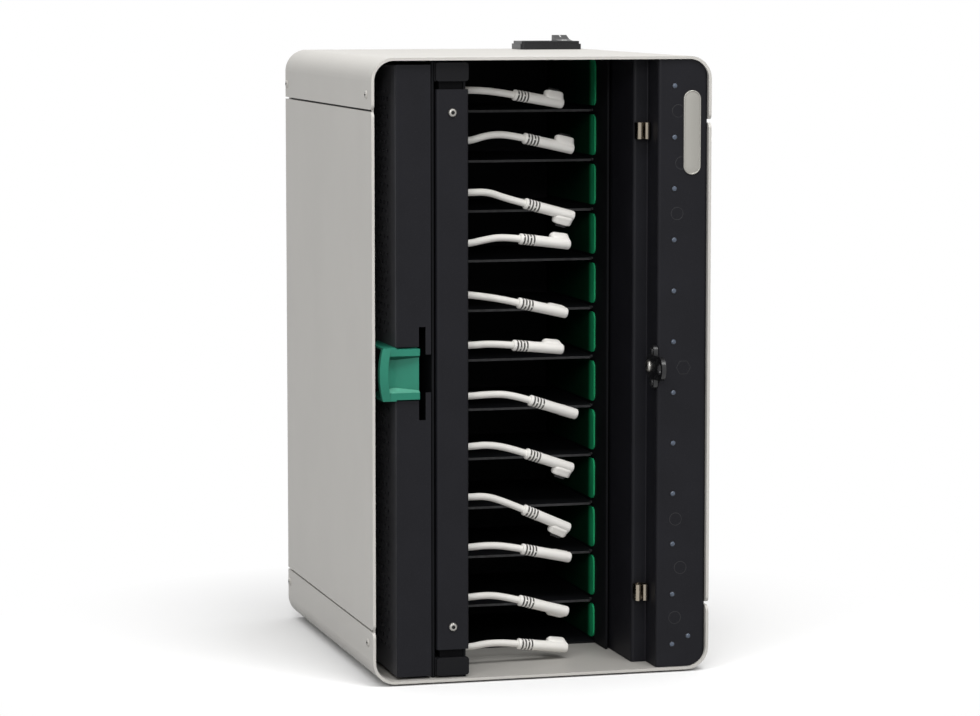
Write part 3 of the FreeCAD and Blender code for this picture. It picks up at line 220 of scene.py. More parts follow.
# Black for the strips of painted shade in the shell's seams
black_rubber = surface("black_rubber", (0.018, 0.018, 0.018), 0.75, mottle=0.15, grain=0.06,
                       grain_scale=3000, specular=0.2)
lens = surface("lens", (0.080, 0.100, 0.138), 0.22, mottle=0.2, mottle_scale=400, grain=0.005, specular=0.4)
surface("circuit_board", (0.015, 0.11, 0.045), 0.4, mottle=0.5, mottle_scale=180, grain=0.06,
        grain_scale=700)
badge_metal = surface("badge_metal", (0.38, 0.37, 0.34), 0.36, metallic=0.7, mottle=0.06, grain=0.02,
                      grain_scale=900, stretch=(1, 1, 0.05))
surface("bright_steel", (0.33, 0.29, 0.235), 0.2, metallic=1.0, mottle=0.06, grain=0.006)
steel = surface("steel", (0.36, 0.35, 0.33), 0.32, metallic=1.0, mottle=0.1, grain=0.02, grain_scale=1200)
surface("pin_metal", (0.70, 0.62, 0.42), 0.25, metallic=1.0, mottle=0.1, grain=0.01)
surface("supply_case", (0.55, 0.55, 0.55), 0.4, metallic=0.9, mottle=0.06, grain=0.02, stretch=(0.1, 1, 1))
guide_green = surface("guide_green", (0.018, 0.40, 0.160), 0.5, mottle=0.12, mottle_scale=60, grain=0.03,
                      specular=0.2)
handle_teal = surface("handle_teal", (0.020, 0.200, 0.132), 0.45, mottle=0.07, mottle_scale=70, grain=0.04,
                      grain_scale=2200, specular=0.3)
# Paler teal for the pull's edges, partly wear and partly a painted highlight
handle_edge_wear_and_highlight = surface("handle_edge_wear_and_highlight", (0.062, 0.300, 0.208), 0.4, mottle=0.25, mottle_scale=250, grain=0.04,
                      grain_scale=2200, specular=0.3)
# Paler and darker copies of the pull's teal: painted light on its sill and painted shade under its upper
# rib
handle_painted_light = surface("handle_painted_light", (0.092, 0.345, 0.245), 0.4, mottle=0.12, mottle_scale=120, grain=0.04,
                      grain_scale=2200, specular=0.3)
handle_painted_shade = surface("handle_painted_shade", (0.009, 0.088, 0.058), 0.5, mottle=0.10, mottle_scale=120, grain=0.04,
                      grain_scale=2200, specular=0.2)
surface("nylon", (0.72, 0.72, 0.68), 0.4, mottle=0.04, grain=0.02)
white_cord = surface("white_cord", (0.82, 0.80, 0.76), 0.5, mottle=0.025, mottle_scale=120, grain=0.03,
                     grain_scale=2400, specular=0.3)
white_plug = surface("white_plug", (0.86, 0.84, 0.80), 0.42, mottle=0.02, mottle_scale=120, grain=0.02,
                     grain_scale=2600, specular=0.3)
white_mark = surface("white_mark", (0.75, 0.75, 0.74), 0.5, mottle=0.04, mottle_scale=900, grain=0.01)

# Openness of a point at which a hollow is darkest and from which it shades no more
HOLLOW_RANGE = (0.3, 0.85)


def scale_colour(material, factor):
    """Multiplies the base colour of a material by an output of its own node tree."""
    tree = material.node_tree
    base = tree.nodes["Principled BSDF"].inputs["Base Color"]
    scaled = tree.nodes.new("ShaderNodeVectorMath")
    scaled.operation = "SCALE"
    tree.links.new(base.links[0].from_socket, scaled.inputs["Vector"])
    tree.links.new(factor, scaled.inputs["Scale"])
    tree.links.new(scaled.outputs["Vector"], base)


def paint_depth_shade(material, front, back, share):
    """Darkens a material from one depth in the part to another, down to a share of its colour, as painted
    shade.
    """
    tree = material.node_tree
    depth = coordinate(tree, "Object", "Y")
    scale_colour(material, map_range(tree, depth, (front * MM, back * MM), (1, share)))


def paint_hollow_shade(material, reach, share):
    """Darkens a material in its own narrow grooves and corners, down to a share of its colour, as painted
    shade.
    """
    tree = material.node_tree
    hollow = tree.nodes.new("ShaderNodeAmbientOcclusion")
    hollow.only_local = True
    hollow.inputs["Distance"].default_value = reach * MM
    scale_colour(material, map_range(tree, hollow.outputs["AO"], HOLLOW_RANGE, (share, 1)))


# The liners are a clear green at their front edge and darker behind it, painted shade deeper in the bays
paint_depth_shade(guide_green, front=GUIDE_FRONT + GUIDE_SHADE_START, back=GUIDE_FRONT + GUIDE_SHADE_END, share=0.08)

# Painted shade darkens the grooves of the plugs and the corners of the pull
paint_hollow_shade(white_plug, reach=2.0, share=0.12)
paint_hollow_shade(handle_teal, reach=4.0, share=0.40)

slot_of = {row["node"]: row["material_slot"] for row in frame["record"]["subparts"]}
for name, node in nodes.items():
    node.data.materials.clear()
    node.data.materials.append(finishes[slot_of[name]])
for name in ("bay_left_wall", "bay_right_wall", "bay_dividers", "bay_back_wall", "pocket_partition",
             "slide_rails"):
    nodes[name].data.materials[0] = inner_black
nodes["hasp"].data.materials[0] = hasp_black

# Least share of a face's normal for one that lies level, looks one way or only leans that way
LEVEL = 0.95
FACING = 0.7
LEANING = 0.5

# Heights between which faces are finished apart
TONGUE_SPAN = (18.0, 420.0)
SILL_SPAN = (205.0, 214.0)
RIB_SPAN = (222.0, 231.0)
PAN_SPAN = (0.0, 12.0)


def finish_faces(node_name, material, chosen):
    """Gives another finish to the faces of a node that a test picks."""
    mesh = nodes[node_name].data
    mesh.materials.append(material)
    for face in mesh.polygons:
        if chosen(face):
            face.material_index = len(mesh.materials) - 1


def within(face, span):
    """Whether the centre of a face lies between two heights."""
    return span[0] * MM < face.center.z < span[1] * MM


# The front faces of the shelves are rubbed pale with a painted highlight, and the tongues of the duct's
# ends are painted near-black as painted shade
finish_faces("bay_dividers", worn_edge_and_highlight, lambda face: face.normal.y < -FACING)
finish_faces("duct_end_blocks", painted_shade_black, lambda face: within(face, TONGUE_SPAN))

# The sill of the pull is painted paler as painted light from above, and the underside of its upper rib
# darker as painted shade
finish_faces("door_handle", handle_painted_light, lambda face: face.normal.z > LEANING and within(face, SILL_SPAN))
finish_faces("door_handle", handle_painted_shade, lambda face: face.normal.z < -LEANING and within(face, RIB_SPAN))

# The upward faces inside the pan are painted darker as painted shade
finish_faces("bottom_pan", pan_painted_shade, lambda face: face.normal.z > LEVEL and within(face, PAN_SPAN))


# Mesh helpers

SMOOTH_ANGLE = 40
BEVEL_ANGLE = math.radians(35)


def even_angles(count):
    """Angles that divide the full turn evenly."""
    return [2 * math.pi * i / count for i in range(count)]


def turned(stations, angles):
    """Rings about the X axis at stations of (along, radius); a radius may be a function of the angle."""
    rings = []
    for along, outline in stations:
        ring = []
        for angle in angles:
            radius = outline(angle) if callable(outline) else outline
            ring.append((along, radius * math.cos(angle), radius * math.sin(angle)))
        rings.append(ring)
    return rings


def placed(rings, place, direction):
    """Rings about the X axis, turned to a direction and moved to a place."""
    turn = Vector((1, 0, 0)).rotation_difference(Vector(direction)).to_matrix()
    return [[Vector(place) + turn @ Vector(point) for point in ring] for ring in rings]


def grow(made, rings):
    """Vertices of a bmesh at rings of points in millimetres."""
    return [[made.verts.new(Vector(point) * MM) for point in ring] for ring in rings]


def band(made, first, second):
    """Faces between two rings of equally many vertices."""
    corners = zip(first, first[1:] + first[:1], second[1:] + second[:1], second)
    return [made.faces.new(four) for four in corners]


def skin(made, rings, finish=0, dark_from=math.inf):
    """Closed tube through rings of equally many points, with finish 1 from one of the rings on."""
    grown = grow(made, rings)
    faces = {0: [made.faces.new(grown[0][::-1])], len(grown): [made.faces.new(grown[-1])]}
    for k, (first, second) in enumerate(zip(grown, grown[1:])):
        faces.setdefault(k, []).extend(band(made, first, second))
    for k, row in faces.items():
        for face in row:
            face.material_index = 1 if k >= dark_from else finish
    bmesh.ops.recalc_face_normals(made, faces=[face for row in faces.values() for face in row])


def hoop(made, rings):
    """Closed hoop whose section runs once round through rings of equally many points."""
    grown = grow(made, rings)
    faces = []
    for first, second in zip(grown, grown[1:] + grown[:1]):
        faces += band(made, first, second)
    bmesh.ops.recalc_face_normals(made, faces=faces)


def sharpen(made, smooth_angle):
    """Lets a bmesh look smooth except across edges sharper than an angle in degrees."""
    limit = math.radians(smooth_angle)
    for edge in made.edges:
        edge.smooth = len(edge.link_faces) == 2 and edge.calc_face_angle(0) < limit


def to_mesh(name, made, smooth_angle=SMOOTH_ANGLE):
    """Turns a bmesh into a mesh, smooth except across edges sharper than smooth_angle."""
    for face in made.faces:
        face.smooth = True
    sharpen(made, smooth_angle)
    mesh = bpy.data.meshes.new(name)
    made.to_mesh(mesh)
    made.free()
    return mesh


def add_object(name, data):
    """New object in the scene."""
    added = bpy.data.objects.new(name, data)
    bpy.context.scene.collection.objects.link(added)
    return added


def new_piece(name, mesh, body, materials=()):
    """Object of one mesh that rides on a body, with the given materials."""
    piece = add_object(name, mesh)
    for material in materials:
        mesh.materials.append(material)
    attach(piece, body)
    return piece


def combined(target, tool, operation):
    """Mesh of an object with its modifiers and a tool worked in; both objects are removed."""
    step = target.modifiers.new("combine", "BOOLEAN")
    step.operation = operation
    step.solver = "EXACT"
    step.object = tool
    depsgraph = bpy.context.evaluated_depsgraph_get()
    mesh = bpy.data.meshes.new_from_object(target.evaluated_get(depsgraph))
    for spare in (target, tool):
        bpy.data.objects.remove(spare)
    return mesh


def add_bevel(piece, width, segments):
    """Rounds the sharp edges of an object and smooths its faces; the width is in millimetres."""
    piece.data.polygons.foreach_set("use_smooth", [True] * len(piece.data.polygons))
    bevel = piece.modifiers.new("edges", "BEVEL")
    bevel.width = width * MM
    bevel.segments = segments
    bevel.limit_method = "ANGLE"
    bevel.angle_limit = BEVEL_ANGLE
    bevel.harden_normals = True
    return bevel


def soften(node_name, width, segments=2, edge_finish=None):
    """Rounds the edges of a CAD node for the eye, without changing its shape, and may finish them apart."""
    node = nodes[node_name]
    bevel = add_bevel(node, width, segments)
    if edge_finish is not None:
        node.data.materials.append(edge_finish)
        bevel.material = len(node.data.materials) - 1


# Cords and plugs, with the plug along the X axis from the end of its cord

CORD_FACETS = 6
CORD_STEPS = 10
RELIEF_LENGTH = 12.0
RELIEF_RADIUS = 3.95
RELIEF_MOUTH = [(0, 2.6), (0.1, 3.3), (0.5, 3.8), (0.9, RELIEF_RADIUS)]
COLLAR = 2.2
GROOVES = 4
GROOVE_RADIUS = 2.0
GROOVE_PITCH = 2.45
GROOVE_WIDTH = 1.45
GROOVE_WALL = 0.1
BRIDGE_RADIUS = 3.3
BRIDGE_HALF_ANGLE = 0.22
PLUG_RADIUS = 3.8
PLUG_LENGTH = 27.0
PLUG_END = RELIEF_LENGTH + PLUG_LENGTH
PLUG_STEP = 0.8
PLUG_SIDES = 40
PLUG_SMOOTH_ANGLE = 38
NECK_HALF_LENGTH = 7.25
NECK_HALF_WIDTH = 3.5
NECK_HEIGHT = 7.6
NECK_CORNER = 3.2
NECK_SETBACK = 0.3
NECK_CENTRE = PLUG_END - NECK_SETBACK - NECK_HALF_LENGTH
NECK_SIDES = 36
NECK_LONGER = 0.2
TIP_HALF_LENGTH = 4.5
TIP_RADIUS = 1.4
TIP_RISE = 2.0
TIP_TOP = NECK_HEIGHT + TIP_RISE
TIP_SIDES = 24

# The plug's rounded end as (back from the end, inset)
PLUG_NOSE = [(1.4, 0.0), (0.7, 0.2), (0.2, 0.7), (0.0, 1.5)]

# The neck as (height, widening) and the contact tip as (height, inset)
NECK_PROFILE = [(0.0, -0.4), (2.4, 0.5), (3.4, 0.35), (4.2, 0.1), (NECK_HEIGHT - 1.4, 0.0),
                (NECK_HEIGHT - 0.6, -0.25), (NECK_HEIGHT - 0.15, -0.7), (NECK_HEIGHT, -1.3)]
TIP_PROFILE = [(NECK_HEIGHT - 0.6, 0.0), (TIP_TOP - 0.4, 0.0), (TIP_TOP - 0.1, 0.15), (TIP_TOP, 0.4)]


def make_cord(index):
    """Cord of one bay as a smooth spline over the route of its solid, and the points of that route."""
    number = "%02d" % (index + 1)
    exit_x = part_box("cord_" + number)[0].x / MM
    start = Vector((exit_x, EXIT_DEPTH, EXIT_TOP - BAY_PITCH * index))
    points = [(start + Vector(step)) * MM for step in CORD_ROUTES[index]]
    curve = bpy.data.curves.new("flex_" + number, "CURVE")
    curve.dimensions = "3D"
    curve.bevel_depth = CORD_RADIUS
    curve.bevel_resolution = CORD_FACETS
    curve.resolution_u = CORD_STEPS
    curve.use_fill_caps = True
    spline = curve.splines.new("NURBS")
    spline.points.add(len(points) - 1)
    for control, point in zip(spline.points, points):
        control.co = (*point, 1)
    spline.order_u = 3
    spline.use_endpoint_u = True
    curve.materials.append(white_cord)
    flex = add_object("flex_" + number, curve)
    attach(flex, "cabinet")
    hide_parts("cord_" + number)
    return flex, points


def groove(turn):
    """Outline of one relief groove, which two bridges cross at the given turn."""
    def outline(angle):
        off = abs((angle - turn + math.pi / 2) % math.pi - math.pi / 2)
        return BRIDGE_RADIUS if off < BRIDGE_HALF_ANGLE else GROOVE_RADIUS
    return outline


def neck_ring(half_length, half_width, corner, height, count):
    """Level ring over the neck's centre, a rounded rectangle that is long in X."""
    ring = []
    for angle in even_angles(count):
        x = math.copysign(half_length - corner, math.cos(angle)) + corner * math.cos(angle)
        flat = max(half_width - corner, 0)
        y = math.copysign(flat, math.sin(angle)) + min(corner, half_width) * math.sin(angle)
        ring.append((NECK_CENTRE + x, y, height))
    return ring


def plug_stations():
    """Stations of the grooved strain relief and the round body."""
    stations = list(RELIEF_MOUTH)
    for i in range(GROOVES):
        start = COLLAR + i * GROOVE_PITCH
        end = start + GROOVE_WIDTH
        notch = groove(math.pi / 2 * (i % 2))
        stations += [(start, RELIEF_RADIUS), (start + GROOVE_WALL, notch)]
        stations += [(end - GROOVE_WALL, notch), (end, RELIEF_RADIUS)]
    stations += [(RELIEF_LENGTH + GROOVE_WALL, RELIEF_RADIUS), (RELIEF_LENGTH + PLUG_STEP, PLUG_RADIUS)]
    stations += [(PLUG_END - back, PLUG_RADIUS - inset) for back, inset in PLUG_NOSE]
    return stations


def plug_mesh():
    """Ribbed strain relief, round body with a blended side neck, and the dark contact tip."""
    body = bmesh.new()
    skin(body, turned(plug_stations(), even_angles(PLUG_SIDES)))
    rings = []
    for height, wider in NECK_PROFILE:
        half_length = NECK_HALF_LENGTH + min(wider, NECK_LONGER)
        rings.append(neck_ring(half_length, NECK_HALF_WIDTH + wider, NECK_CORNER, height, NECK_SIDES))
    neck = bmesh.new()
    skin(neck, rings)
    whole = add_object("plug_body", to_mesh("plug_body", body))
    side = add_object("plug_neck", to_mesh("plug_neck", neck))
    made = bmesh.new()
    made.from_mesh(combined(whole, side, "UNION"))
    rings = []
    for height, inset in TIP_PROFILE:
        radius = TIP_RADIUS - inset
        rings.append(neck_ring(TIP_HALF_LENGTH - inset, radius, radius, height, TIP_SIDES))
    skin(made, rings, 1)
    mesh = to_mesh("plug_form", made, PLUG_SMOOTH_ANGLE)
    mesh.materials.append(white_plug)
    mesh.materials.append(black_gloss)
    return mesh


plug_form = plug_mesh()
for bay, roll in enumerate(PLUG_ROLLS):
    flex, points = make_cord(bay)
    along = (points[-1] - points[-2]).normalized()
    heading = Matrix.Rotation(math.atan2(along.y, along.x), 4, "Z")
    pitch = Matrix.Rotation(-math.asin(along.z), 4, "Y")
    roll_turn = Matrix.Rotation(math.radians(roll), 4, "X")
    plug = new_piece("charge_plug_%02d" % (bay + 1), plug_form, "cabinet")
    plug.matrix_world = Matrix.Translation(points[-1]) @ heading @ pitch @ roll_turn
    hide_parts("plug_%02d" % (bay + 1))


# Perforated leaf of the pocket door

EDGE_BEVEL = 0.25
HOLE_PITCH_Y = 10.8
HOLE_PITCH_Z = 12.0
HOLE_FIRST_Y = -106.3
HOLE_LAST_Y = 36.5
HOLE_LOWEST = 23.5
HOLE_HIGHEST = 416.0
HANDLE_ZONE_Y = -68.0
HANDLE_ZONE_Z = (197.0, 240.0)
HOLE_RADIUS = 1.5
PUNCH = [(-1.0, HOLE_RADIUS), (2.0, HOLE_RADIUS)]
PUNCH_SIDES = 12
LEAF_SMOOTH_ANGLE = 60
LEAF_RUBBED_FROM = -95.0

# Finishes of the leaf by index
LEAF_PAINT = 0
LEAF_WORN_AND_HIGHLIGHT = 1
LEAF_OUTSIDE = 2


def hole_places():
    """Staggered places of the holes as (y, z), without those that the pull covers."""
    places = []
    row = 0
    z = HOLE_LOWEST
    while z < HOLE_HIGHEST:
        y = HOLE_FIRST_Y + HOLE_PITCH_Y / 2 * (row % 2)
        while y < HOLE_LAST_Y:
            if not (y < HANDLE_ZONE_Y and HANDLE_ZONE_Z[0] < z < HANDLE_ZONE_Z[1]):
                places.append((y, z))
            y += HOLE_PITCH_Y
        row += 1
        z += HOLE_PITCH_Z / 2
    return places


def make_perforated_leaf():
    """Door leaf with its holes, an outer face painted paler as painted light, and edges on the side of the
    bays rubbed pale with a painted highlight.
    """
    face_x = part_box("door_leaf")[0].x / MM
    punch = turned(PUNCH, even_angles(PUNCH_SIDES))
    punches = bmesh.new()
    for y, z in hole_places():
        skin(punches, placed(punch, (face_x, y, z), (1, 0, 0)))
    sheet = add_object("leaf_sheet", nodes["door_leaf"].data.copy())
    sheet.data.materials.append(worn_edge_and_highlight)
    sheet.data.materials.append(door_face_painted_light)
    for face in sheet.data.polygons:
        if face.normal.x < -FACING:
            face.material_index = LEAF_OUTSIDE
    add_bevel(sheet, EDGE_BEVEL, 2).material = LEAF_WORN_AND_HIGHLIGHT
    tool = add_object("leaf_punches", to_mesh("leaf_punches", punches))
    punched = combined(sheet, tool, "DIFFERENCE")
    for face in punched.polygons:
        if face.material_index == LEAF_WORN_AND_HIGHLIGHT and face.center.x < LEAF_RUBBED_FROM * MM:
            face.material_index = LEAF_PAINT
    made = bmesh.new()
    made.from_mesh(punched)
    sharpen(made, LEAF_SMOOTH_ANGLE)
    made.to_mesh(punched)
    made.free()
    leaf = new_piece("perforated_leaf", punched, "door")
    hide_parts("door_leaf")
    leaf.modifiers.new("flat", "WEIGHTED_NORMAL").keep_sharp = True


make_perforated_leaf()


# Screws, lamps, badge, marks and seams, in millimetres

SHANK_LENGTH = 5.0
HEAD_RIM = 0.12
HEAD_CROWN = (0.35, 0.6, 0.8, 0.93, 1.0)
CROWN_ROUNDNESS = 0.74
RECESS_RING = 4 + len(HEAD_CROWN)
SOCKET_SIDES = 36
COVER_HEAD = (3.2, 1.7)
COVER_SHANK = 1.9
COVER_SOCKET = (1.25, 1.4)
SHELL_HEAD = (3.0, 1.0)
SHELL_SHANK = 1.5
CROSS_HALF_LENGTH = 1.9
CROSS_HALF_WIDTH = 0.55
CROSS_DEPTH = 0.9
CROSS_BETWEEN = [0.4, 0.6, math.pi / 4, 0.98, 1.18]
TINY = 1e-6

# Head and socket of the hasp's bolts in shank radii, and the largest shank of a dark bolt
BOLT_HEAD = (1.9, 0.8)
BOLT_SOCKET = (0.75, 0.55)
DARK_SHANK = 1.4

# Lamps as (out of the strip, radius)
LAMP_DOME = [(-1.0, 1.75), (0.1, 1.75), (0.35, 1.62), (0.55, 1.3), (0.7, 0.8), (0.78, 0.2)]
LAMP_HOLDER = [(0.05, 1.7), (0.25, 1.8), (0.25, 2.05), (0.1, 2.1), (-1.5, 2.1), (-1.5, 3.0), (-6.0, 3.0)]
LAMP_SIDES = 24

# Stud outlines: radii, sides and section as (out of the strip, wider)
STUD_RADIUS = 4.4
STUD_SIDES = 36
HEXAGON_RADIUS = 5.25
STUD_SECTION = [(-0.1, -0.25), (0.05, -0.1), (0.05, 0.1), (-0.1, 0.25)]
STUD_SMOOTH_ANGLE = 60

# Badge, with its profile from the back to the middle of the field as (out of the strip, inset)
BADGE_WIDTH = 12.7
BADGE_LENGTH = 59.2
BADGE_SIDES = 48
BADGE_SMOOTH_ANGLE = 50
BADGE_PROFILE = [(0.0, 0.0), (0.75, 0.0), (1.05, 0.15), (1.2, 0.45), (1.2, 0.7), (1.0, 0.95), (0.7, 1.1),
                 (0.78, 2.0), (0.98, 3.4), (1.12, 4.8), (1.16, 5.8)]

# The rocker's faces rise from its middle to both ends, and each carries a mark at a reach from the middle
ROCKER_SLOPE = math.atan2(1.0, 9.5)
ROCKER_FACE = 3.9
MARK_REACH = 6.0
MARK_FOOT = -0.15
MARK_TOP = 0.06
BAR_CORNERS = [(-0.45, -1.9), (0.45, -1.9), (0.45, 1.9), (-0.45, 1.9)]
RING_SECTION = [(1.3, MARK_FOOT), (1.3, MARK_TOP), (2.0, MARK_TOP), (2.0, MARK_FOOT)]
RING_SIDES = 28
MARK_SMOOTH_ANGLE = 30

# Seams as (side, lower edge, upper edge, front end), and their dark strips of painted shade as (out of the
# flange, inset)
SEAMS = [(-1, 38.4, 39.8, -125.0), (-1, 399.6, 401.0, -125.0),
         (1, 46.8, 49.3, -112.8), (1, 389.7, 392.2, -112.8)]
SEAM_BACK = 138.3
SEAM_FLANGE = 120.5
SEAM_PROFILE = [(0.0, 0.05), (0.35, 0.05), (0.5, 0.25)]


def hexagon(apothem):
    """Outline of a hexagon."""
    return lambda angle: apothem / math.cos((angle % (math.pi / 3)) - math.pi / 6)


def cross(half_length, half_width):
    """Outline of a cross with four equal arms."""
    def outline(angle):
        off = (angle + math.pi / 4) % (math.pi / 2) - math.pi / 4
        return min(half_length / math.cos(off), half_width / max(abs(math.sin(off)), TINY))
    return outline


def screw_rings(head, shank_radius, recess, depth, angles):
    """Shank, domed head of (radius, height) and driver recess along the X axis, with the seat at zero."""
    radius, height = head
    stations = [(-SHANK_LENGTH, shank_radius), (0, shank_radius), (0, radius), (HEAD_RIM, radius)]
    for share in HEAD_CROWN:
        stations.append((height * share, radius * math.sqrt(1 - (share * CROWN_ROUNDNESS) ** 2)))
    stations += [(height, recess), (height - depth, recess)]
    return turned(stations, angles)


def make_button_screws():
    """Socket screws of the duct's cover and of the hasp."""
    angles = even_angles(SOCKET_SIDES)
    # Each socket is finished black from the recess ring on, as painted shade in the recess
    made = bmesh.new()
    socket, depth = COVER_SOCKET
    rings = screw_rings(COVER_HEAD, COVER_SHANK, hexagon(socket), depth, angles)
    for z in COVER_SCREW_Z:
        skin(made, placed(rings, (*COVER_SCREW, z), (0, -1, 0)), 0, RECESS_RING)
    for y, z, shank in HASP_BOLTS:
        head = [shank * share for share in BOLT_HEAD]
        socket, depth = [shank * share for share in BOLT_SOCKET]
        rings = screw_rings(head, shank, hexagon(socket), depth, angles)
        finish = 0 if shank > DARK_SHANK else 1
        skin(made, placed(rings, (HASP_FACE, y, z), (-1, 0, 0)), finish, RECESS_RING)
    mesh = to_mesh("socket_screws", made)
    piece = new_piece("socket_screws", mesh, "cabinet", [steel, black_gloss])
    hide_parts("button_screws")


def make_shell_screws():
    """Painted cross-head screws in the sides of the shell."""
    corner = math.atan2(CROSS_HALF_WIDTH, CROSS_HALF_LENGTH)
    quarter = [-corner, 0, corner] + CROSS_BETWEEN
    angles = [k * math.pi / 2 + angle for k in range(4) for angle in quarter]
    recess = cross(CROSS_HALF_LENGTH, CROSS_HALF_WIDTH)
    rings = screw_rings(SHELL_HEAD, SHELL_SHANK, recess, CROSS_DEPTH, angles)
    # The cross recesses are finished black, painted shade in the painted heads
    made = bmesh.new()
    for side in (-1, 1):
        for y in SHELL_SCREW_Y:
            for z in SHELL_SCREW_Z:
                skin(made, placed(rings, (side * SHELL_SIDE, y, z), (side, 0, 0)), 0, RECESS_RING)
    mesh = to_mesh("cross_screws", made)
    piece = new_piece("cross_screws", mesh, "cabinet", [shell_paint, black_gloss])
    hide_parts("shell_screws")


def make_lamps():
    """Lamp domes through the strip, each with a flange behind it and a shallow ring round the dome."""
    angles = even_angles(LAMP_SIDES)
    made = bmesh.new()
    places = [(LAMP_X, LAMP_LOWEST + BAY_PITCH * i) for i in range(BAYS)] + [POWER_LAMP]
    for x, z in places:
        for finish, stations in enumerate((LAMP_DOME, LAMP_HOLDER)):
            skin(made, placed(turned(stations, angles), (x, STRIP_FACE, z), (0, -1, 0)), finish)
    piece = new_piece("lamp_domes", to_mesh("lamp_domes", made), "cabinet", [lens, black_gloss])
    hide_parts("led_lenses")


def make_strip_marks():
    """Faint raised outlines where the studs are welded behind the strip."""
    made = bmesh.new()
    outlines = [(place, STUD_RADIUS, STUD_SIDES) for place in STUD_RINGS]
    outlines.append((STUD_HEXAGON, HEXAGON_RADIUS, 6))
    for (x, z), radius, count in outlines:
        stations = [(rise, radius + wider) for rise, wider in STUD_SECTION]
        hoop(made, placed(turned(stations, even_angles(count)), (x, STRIP_FACE, z), (0, -1, 0)))
    mesh = to_mesh("stud_marks", made, STUD_SMOOTH_ANGLE)
    new_piece("stud_marks", mesh, "cabinet", [stud_mark])


def pill(width, length, count):
    """Outline of an upright pill as (across, up) pairs."""
    radius = width / 2
    ring = []
    for angle in even_angles(count):
        up = math.copysign(length / 2 - radius, math.sin(angle)) + radius * math.sin(angle)
        ring.append((radius * math.cos(angle), up))
    return ring


def make_badge():
    """Bare plate with a raised rim round a sunk, slightly crowned field."""
    x, z = BADGE_CENTRE
    rings = []
    for rise, inset in BADGE_PROFILE:
        outline = pill(BADGE_WIDTH - 2 * inset, BADGE_LENGTH - 2 * inset, BADGE_SIDES)
        rings.append([(x + across, STRIP_FACE - rise, z + up) for across, up in outline])
    made = bmesh.new()
    skin(made, rings)
    mesh = to_mesh("badge_blank", made, BADGE_SMOOTH_ANGLE)
    piece = new_piece("badge_blank", mesh, "cabinet", [badge_metal])
    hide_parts("badge_plate")


def on_rocker(side, x, y, rise):
    """Place of a mark's point on the rocker's rear face for side 1 and on its front face for side -1."""
    centre = Vector((0, MARK_REACH * side, ROCKER_FACE + MARK_REACH * math.tan(ROCKER_SLOPE)))
    lean = Matrix.Rotation(ROCKER_SLOPE * side, 3, "X")
    return ROCKER_PIVOT + Matrix.Rotation(ROCKER_REST, 3, "X") @ (centre + lean @ Vector((x, y, rise)))


def make_rocker_marks():
    """Bar for on at the rear of the rocker and ring for off at its front, on its two sloping faces."""
    made = bmesh.new()
    skin(made, [[on_rocker(1, x, y, rise) for x, y in BAR_CORNERS] for rise in (MARK_FOOT, MARK_TOP)])
    rings = []
    for radius, rise in RING_SECTION:
        ring = []
        for angle in even_angles(RING_SIDES):
            ring.append(on_rocker(-1, radius * math.cos(angle), radius * math.sin(angle), rise))
        rings.append(ring)
    hoop(made, rings)
    mesh = to_mesh("rocker_marks", made, MARK_SMOOTH_ANGLE)
    new_piece("rocker_marks", mesh, "rocker", [white_mark])


def make_seam_strips():
    """Black strips on the joggled flanges, down in the seams of the shell, that paint the shade in the
    seams.
    """
    made = bmesh.new()
    for side, low, high, front in SEAMS:
        rings = []
        for rise, inset in SEAM_PROFILE:
            x = side * (SEAM_FLANGE + rise)
            z0 = low + inset
            z1 = high - inset
            rings.append([(x, front, z0), (x, SEAM_BACK, z0), (x, SEAM_BACK, z1), (x, front, z1)])
        skin(made, rings)
    new_piece("seam_shade_strips", to_mesh("seam_shade_strips", made), "cabinet", [black_rubber])


make_seam_strips()
make_button_screws()
make_shell_screws()
make_lamps()
make_strip_marks()
make_badge()
make_rocker_marks()

# Soft edges on the folded sheet and moulded pieces
SHEET_BEVEL = 0.6
PULL_BEVEL = 0.45

for name in ("top_cap", "bottom_pan", "left_side_panel", "right_side_panel"):
    soften(name, SHEET_BEVEL, 3)
# Dark sheet pieces get pale edges, partly rubbed and partly a painted highlight
for name in ("led_column", "cable_cover", "duct_end_blocks", "bay_right_wall"):
    soften(name, EDGE_BEVEL, edge_finish=worn_edge_and_highlight)
soften("bay_dividers", EDGE_BEVEL, edge_finish=bare_edge_and_highlight)
# The pull's rounded edges are paler, partly rubbed and partly a painted highlight
soften("door_handle", PULL_BEVEL, 3, handle_edge_wear_and_highlight)
for name in ("hasp", "inlet_housing", "rocker", "bay_left_wall", "bay_side_guides", "rear_panel",
             "spring_catches"):
    soften(name, EDGE_BEVEL)


# Floor, light and camera, in metres

FLOOR_HALF_SIZE = 40.0
FLOOR_COLOUR = (0.97, 0.97, 0.97, 1)
FLOOR_BOUNCE = (0.35, 0.35, 0.35, 1)
FADE_RANGE = (0.18, 0.40)
SKY_HORIZON = 0.05
SKY_ZENITH = 0.93

# Square lamps as (name, place, height aimed at, size, watts)
LIGHTS = [
    ("key", (0.4, -1.4, 2.5), 0.25, 1.0, 32.0),
    ("high", (-0.9, -1.3, 2.3), 0.25, 0.9, 11.0),
    ("left", (-1.9, -2.1, 1.2), 0.22, 0.6, 6.5),
    ("front", (-0.95, -2.9, 1.25), 0.22, 0.7, 20.0),
]


def calculated(tree, operation, first, second):
    """Output of a math node on two values."""
    node = tree.nodes.new("ShaderNodeMath")
    node.operation = operation
    tree.links.new(first, node.inputs[0])
    tree.links.new(second, node.inputs[1])
    return node.outputs["Value"]


